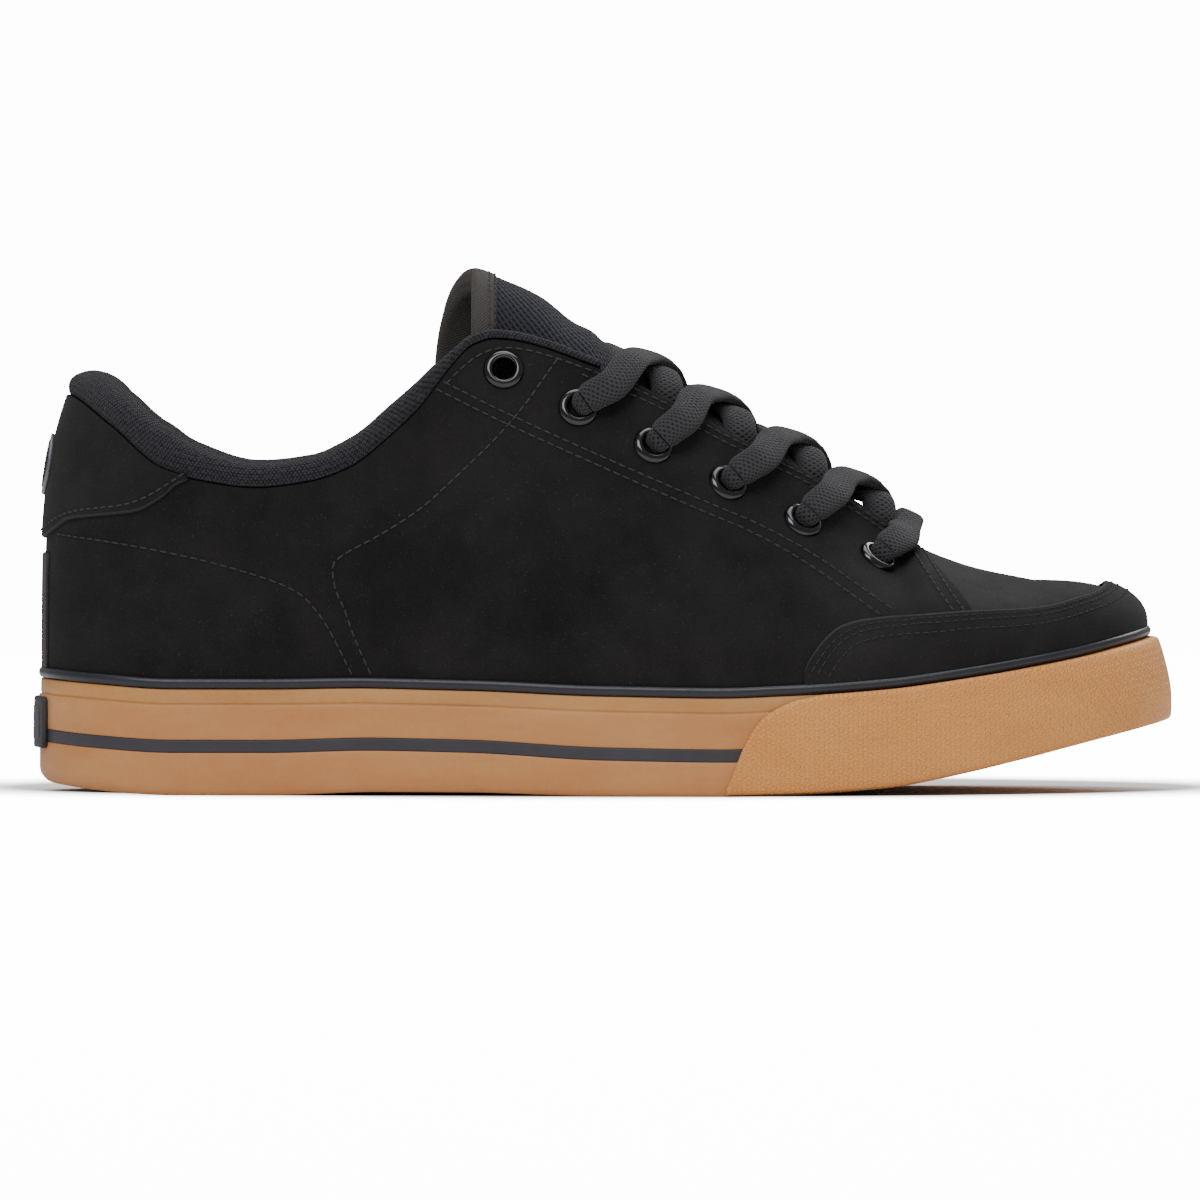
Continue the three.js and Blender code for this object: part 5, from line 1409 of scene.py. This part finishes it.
def edge_row(kind, spot, way, turn, inset_mm, offset, up=False):
    """A row along a panel's edge, a way in from it over the surface."""
    turns = fan(160, 1.3)
    length = ways(spot.fanned().section(turns, offset), 1)
    high = np.array([np.interp(t, turns[0], row) for t, row in zip(turn, length)])
    line = np.stack([way, high], -1)
    ahead = unit(np.gradient(line, axis=0))
    normal = np.stack([ahead[:, 1], -ahead[:, 0]], -1) * (-1 if up else 1)
    moved = line + normal * inset_mm
    apart = np.linalg.norm(moved[:, None] - line[None], axis=2).min(1)
    moved = moved[(apart > 0.96 * inset_mm) & (moved[:, 1] > 0.4)]
    reach = min(4, len(moved) // 8)
    for _ in range(3 if reach else 0):
        wide = np.concatenate([moved[:1]] * reach + [moved] + [moved[-1:]] * reach)
        near = [wide[k : k + len(moved)] for k in range(2 * reach + 1)]
        moved = np.concatenate([moved[:1], np.mean(near, 0)[1:-1], moved[-1:]])
    q = spot.p * spot.side if kind == "heel" else (3 - spot.p) * spot.side
    return climb(spot_from(kind, np.interp(moved[:, 0], way, q)), moved[:, 1], offset)


def stitch_piece(name, rows, pitch=2.7, length=2.1, radius=0.3):
    """Rows of short threads as one mesh."""
    points, faces, uvs = [], [], []
    rings, count = ((-1.0, 0.35), (-0.78, 0.85), (0.0, 1.0), (0.78, 0.85), (1.0, 0.35)), 6
    for row in rows:
        back, front = spaced(row, pitch)
        for a, b in zip(back, front):
            ahead = unit(b - a)
            across = unit(np.cross(ahead, (0.3, 0.2, 0.93)))
            other = np.cross(ahead, across)
            start = len(points)
            for along, wide in rings:
                for k in range(count):
                    turn = 2 * math.pi * k / count
                    out = across * math.cos(turn) + other * math.sin(turn)
                    points.append((a + b) / 2 + ahead * along * length / 2 + out * radius * wide)
                    uvs.append((along, turn * radius))
            faces += grid_faces(len(rings), count, True, False, start)
            faces.append(tuple(start + k for k in range(count)))
            faces.append(tuple(start + (len(rings) - 1) * count + k for k in reversed(range(count))))
    make(name, points, faces, THREAD, np.array(uvs) / 1000)


REAR_SEAM = mm(
    (54, 536), (107, 542.7), (160.7, 552), (214, 564), (268, 580), (300, 593.6), (318.8, 615), (332, 636.5),
    (352, 677),
)
QUARTER_SEAM = mm(
    (558, 359), (511, 425), (447, 486), (420, 510.5), (380, 536), (335, 559), (331, 572), (336, 595),
    (343, 607), (353.6, 639), (371, 677),
)
STAY_OUTER = mm((434, 389), (506, 425), (674.7, 500), (780, 544), (882, 616))
STAY_INNER = mm((442, 382), (511, 417), (682.7, 493), (789, 537), (893, 610))
FRONT_REAR = mm((915, 552), (932, 580), (954, 612))
FRONT_FRONT = mm((926, 552), (943, 580), (965, 612))
stitched = []
for side in (-1, 1):
    for line in (REAR_SEAM, QUARTER_SEAM, STAY_OUTER, STAY_INNER, FRONT_REAR, FRONT_FRONT):
        stitched.append(drawn_row(line, side, 0.08))
for side in (-1, 1):
    for inset_mm, first in ((1.9, 0.352), (4.1, 0.475)):
        x = quarter_spot.x / LENGTH
        at, along = some(quarter_spot, quarter_way, (quarter_spot.side == side) & (x > first) & (x < 0.775))
        stitched.append(edge_row("heel", at, along, top_turn(at), inset_mm, 0.08))
stitch_piece("quarter_stitches", stitched)
guard_rows = [edge_row("toe", guard_spot, guard_way, guard_top, d, 0.83) for d in (1.9, 3.6, 6.6)]
stitch_piece("guard_stitches", guard_rows, pitch=2.3, length=1.7, radius=0.2)
patch_rows = [edge_row("heel", patch_spot, patch_way, patch_low, 1.7, 1.38, up=True)]
stitch_piece("patch_stitches", patch_rows, pitch=2.3, length=1.7)
binding_rows = []
for depth_x in (0.66, 0.86):
    x = RIM_X + BINDING * depth_x
    binding_rows.append(tongue_arch(x, -0.52, np.linspace(-0.97, 0.97, 90) * math.pi / 2))
stitch_piece("binding_stitches", binding_rows, pitch=2.2, length=1.6, radius=0.25)


# FLOOR, LIGHT AND CAMERA
camera = bpy.data.objects.new("camera", bpy.data.cameras.new("camera"))
bpy.context.scene.collection.objects.link(camera)
bpy.context.scene.camera = camera
across, above = PHOTO / 2 - HEEL_PIXEL, GROUND_PIXEL - PHOTO / 2
view_centre = np.array([across * MM_PER_PIXEL, -50.0, above * MM_PER_PIXEL])
distance = 6.0
elevation = math.radians(1.2)
target = Vector((view_centre - SHIFT) / 1000)
back = Vector((0, -math.cos(elevation), math.sin(elevation)))
camera.location = target + back * distance
camera.rotation_mode = "QUATERNION"
camera.rotation_quaternion = (-back).to_track_quat("-Z", "Y")
camera.data.lens = camera.data.sensor_width * distance / (PHOTO * MM_PER_PIXEL / 1000)
camera.data.clip_start, camera.data.clip_end = 0.1, 50

floor_mesh = bpy.data.meshes.new("floor")
floor_mesh.from_pydata([(-6, -6, 0), (6, -6, 0), (6, 6, 0), (-6, 6, 0)], [], [(0, 1, 2, 3)])
floor = bpy.data.objects.new("floor", floor_mesh)
bpy.context.scene.collection.objects.link(floor)
floor_look = Nodes("floor_white_with_painted_shadow_oval", Roughness=0.9, Specular_IOR_Level=0.1)
floor_look.shader.inputs["Base Color"].default_value = (0.92, 0.92, 0.92, 1)
# The floor glows white for the camera except in an oval round the shoe, lit there only by the lamps: the
# lamps cast the contact shadows in it, but the oval's grey spread is a painted shadow.
oval = floor_look.where(scale=(0.56, 1, 0))
middle = floor_look.add("ShaderNodeMapping", Vector=oval, Location=(0, -0.04, 0))
away = floor_look.add("ShaderNodeVectorMath", Vector=middle.outputs["Vector"], set_operation="LENGTH")
glow_round_painted_shadow = floor_look.add("ShaderNodeMapRange", Value=away.outputs["Value"])
for key, value in (("From Min", 0.088), ("From Max", 0.13), ("To Min", 0.0), ("To Max", 14.0)):
    glow_round_painted_shadow.inputs[key].default_value = value
seen = floor_look.add("ShaderNodeLightPath").outputs["Is Camera Ray"]
floor_look.shader.inputs["Emission Color"].default_value = (1, 1, 1, 1)
glow_round_painted_shadow = floor_look.times(glow_round_painted_shadow.outputs["Result"], seen)
floor_look.link(glow_round_painted_shadow, floor_look.shader.inputs["Emission Strength"])
floor_mesh.materials.append(floor_look.material)

world = bpy.data.worlds.new("studio")
world.use_nodes = True
background = world.node_tree.nodes["Background"]
background.inputs["Color"].default_value = (1, 1, 1, 1)
sight = world.node_tree.nodes.new("ShaderNodeLightPath")
strength = world.node_tree.nodes.new("ShaderNodeMapRange")
strength.inputs["To Min"].default_value = 0.3
strength.inputs["To Max"].default_value = 14.0
world.node_tree.links.new(sight.outputs["Is Camera Ray"], strength.inputs["Value"])
world.node_tree.links.new(strength.outputs["Result"], background.inputs["Strength"])
bpy.context.scene.world = world


def softbox(name, place, aim, size, power):
    light = bpy.data.lights.new(name, "AREA")
    light.shape = "RECTANGLE"
    light.size, light.size_y = size
    light.energy = power
    obj = bpy.data.objects.new(name, light)
    bpy.context.scene.collection.objects.link(obj)
    obj.location = place
    obj.rotation_mode = "QUATERNION"
    obj.rotation_quaternion = (Vector(aim) - Vector(place)).to_track_quat("-Z", "Y")


softbox("key", (-0.5, -1.3, 1.5), (0, 0, 0.05), (1.2, 0.9), 20)
softbox("top", (0.1, 0.1, 1.7), (0, 0, 0), (1.6, 1.0), 16)
softbox("rim", (0.7, 1.1, 1.0), (0, 0, 0.06), (0.9, 0.7), 9)
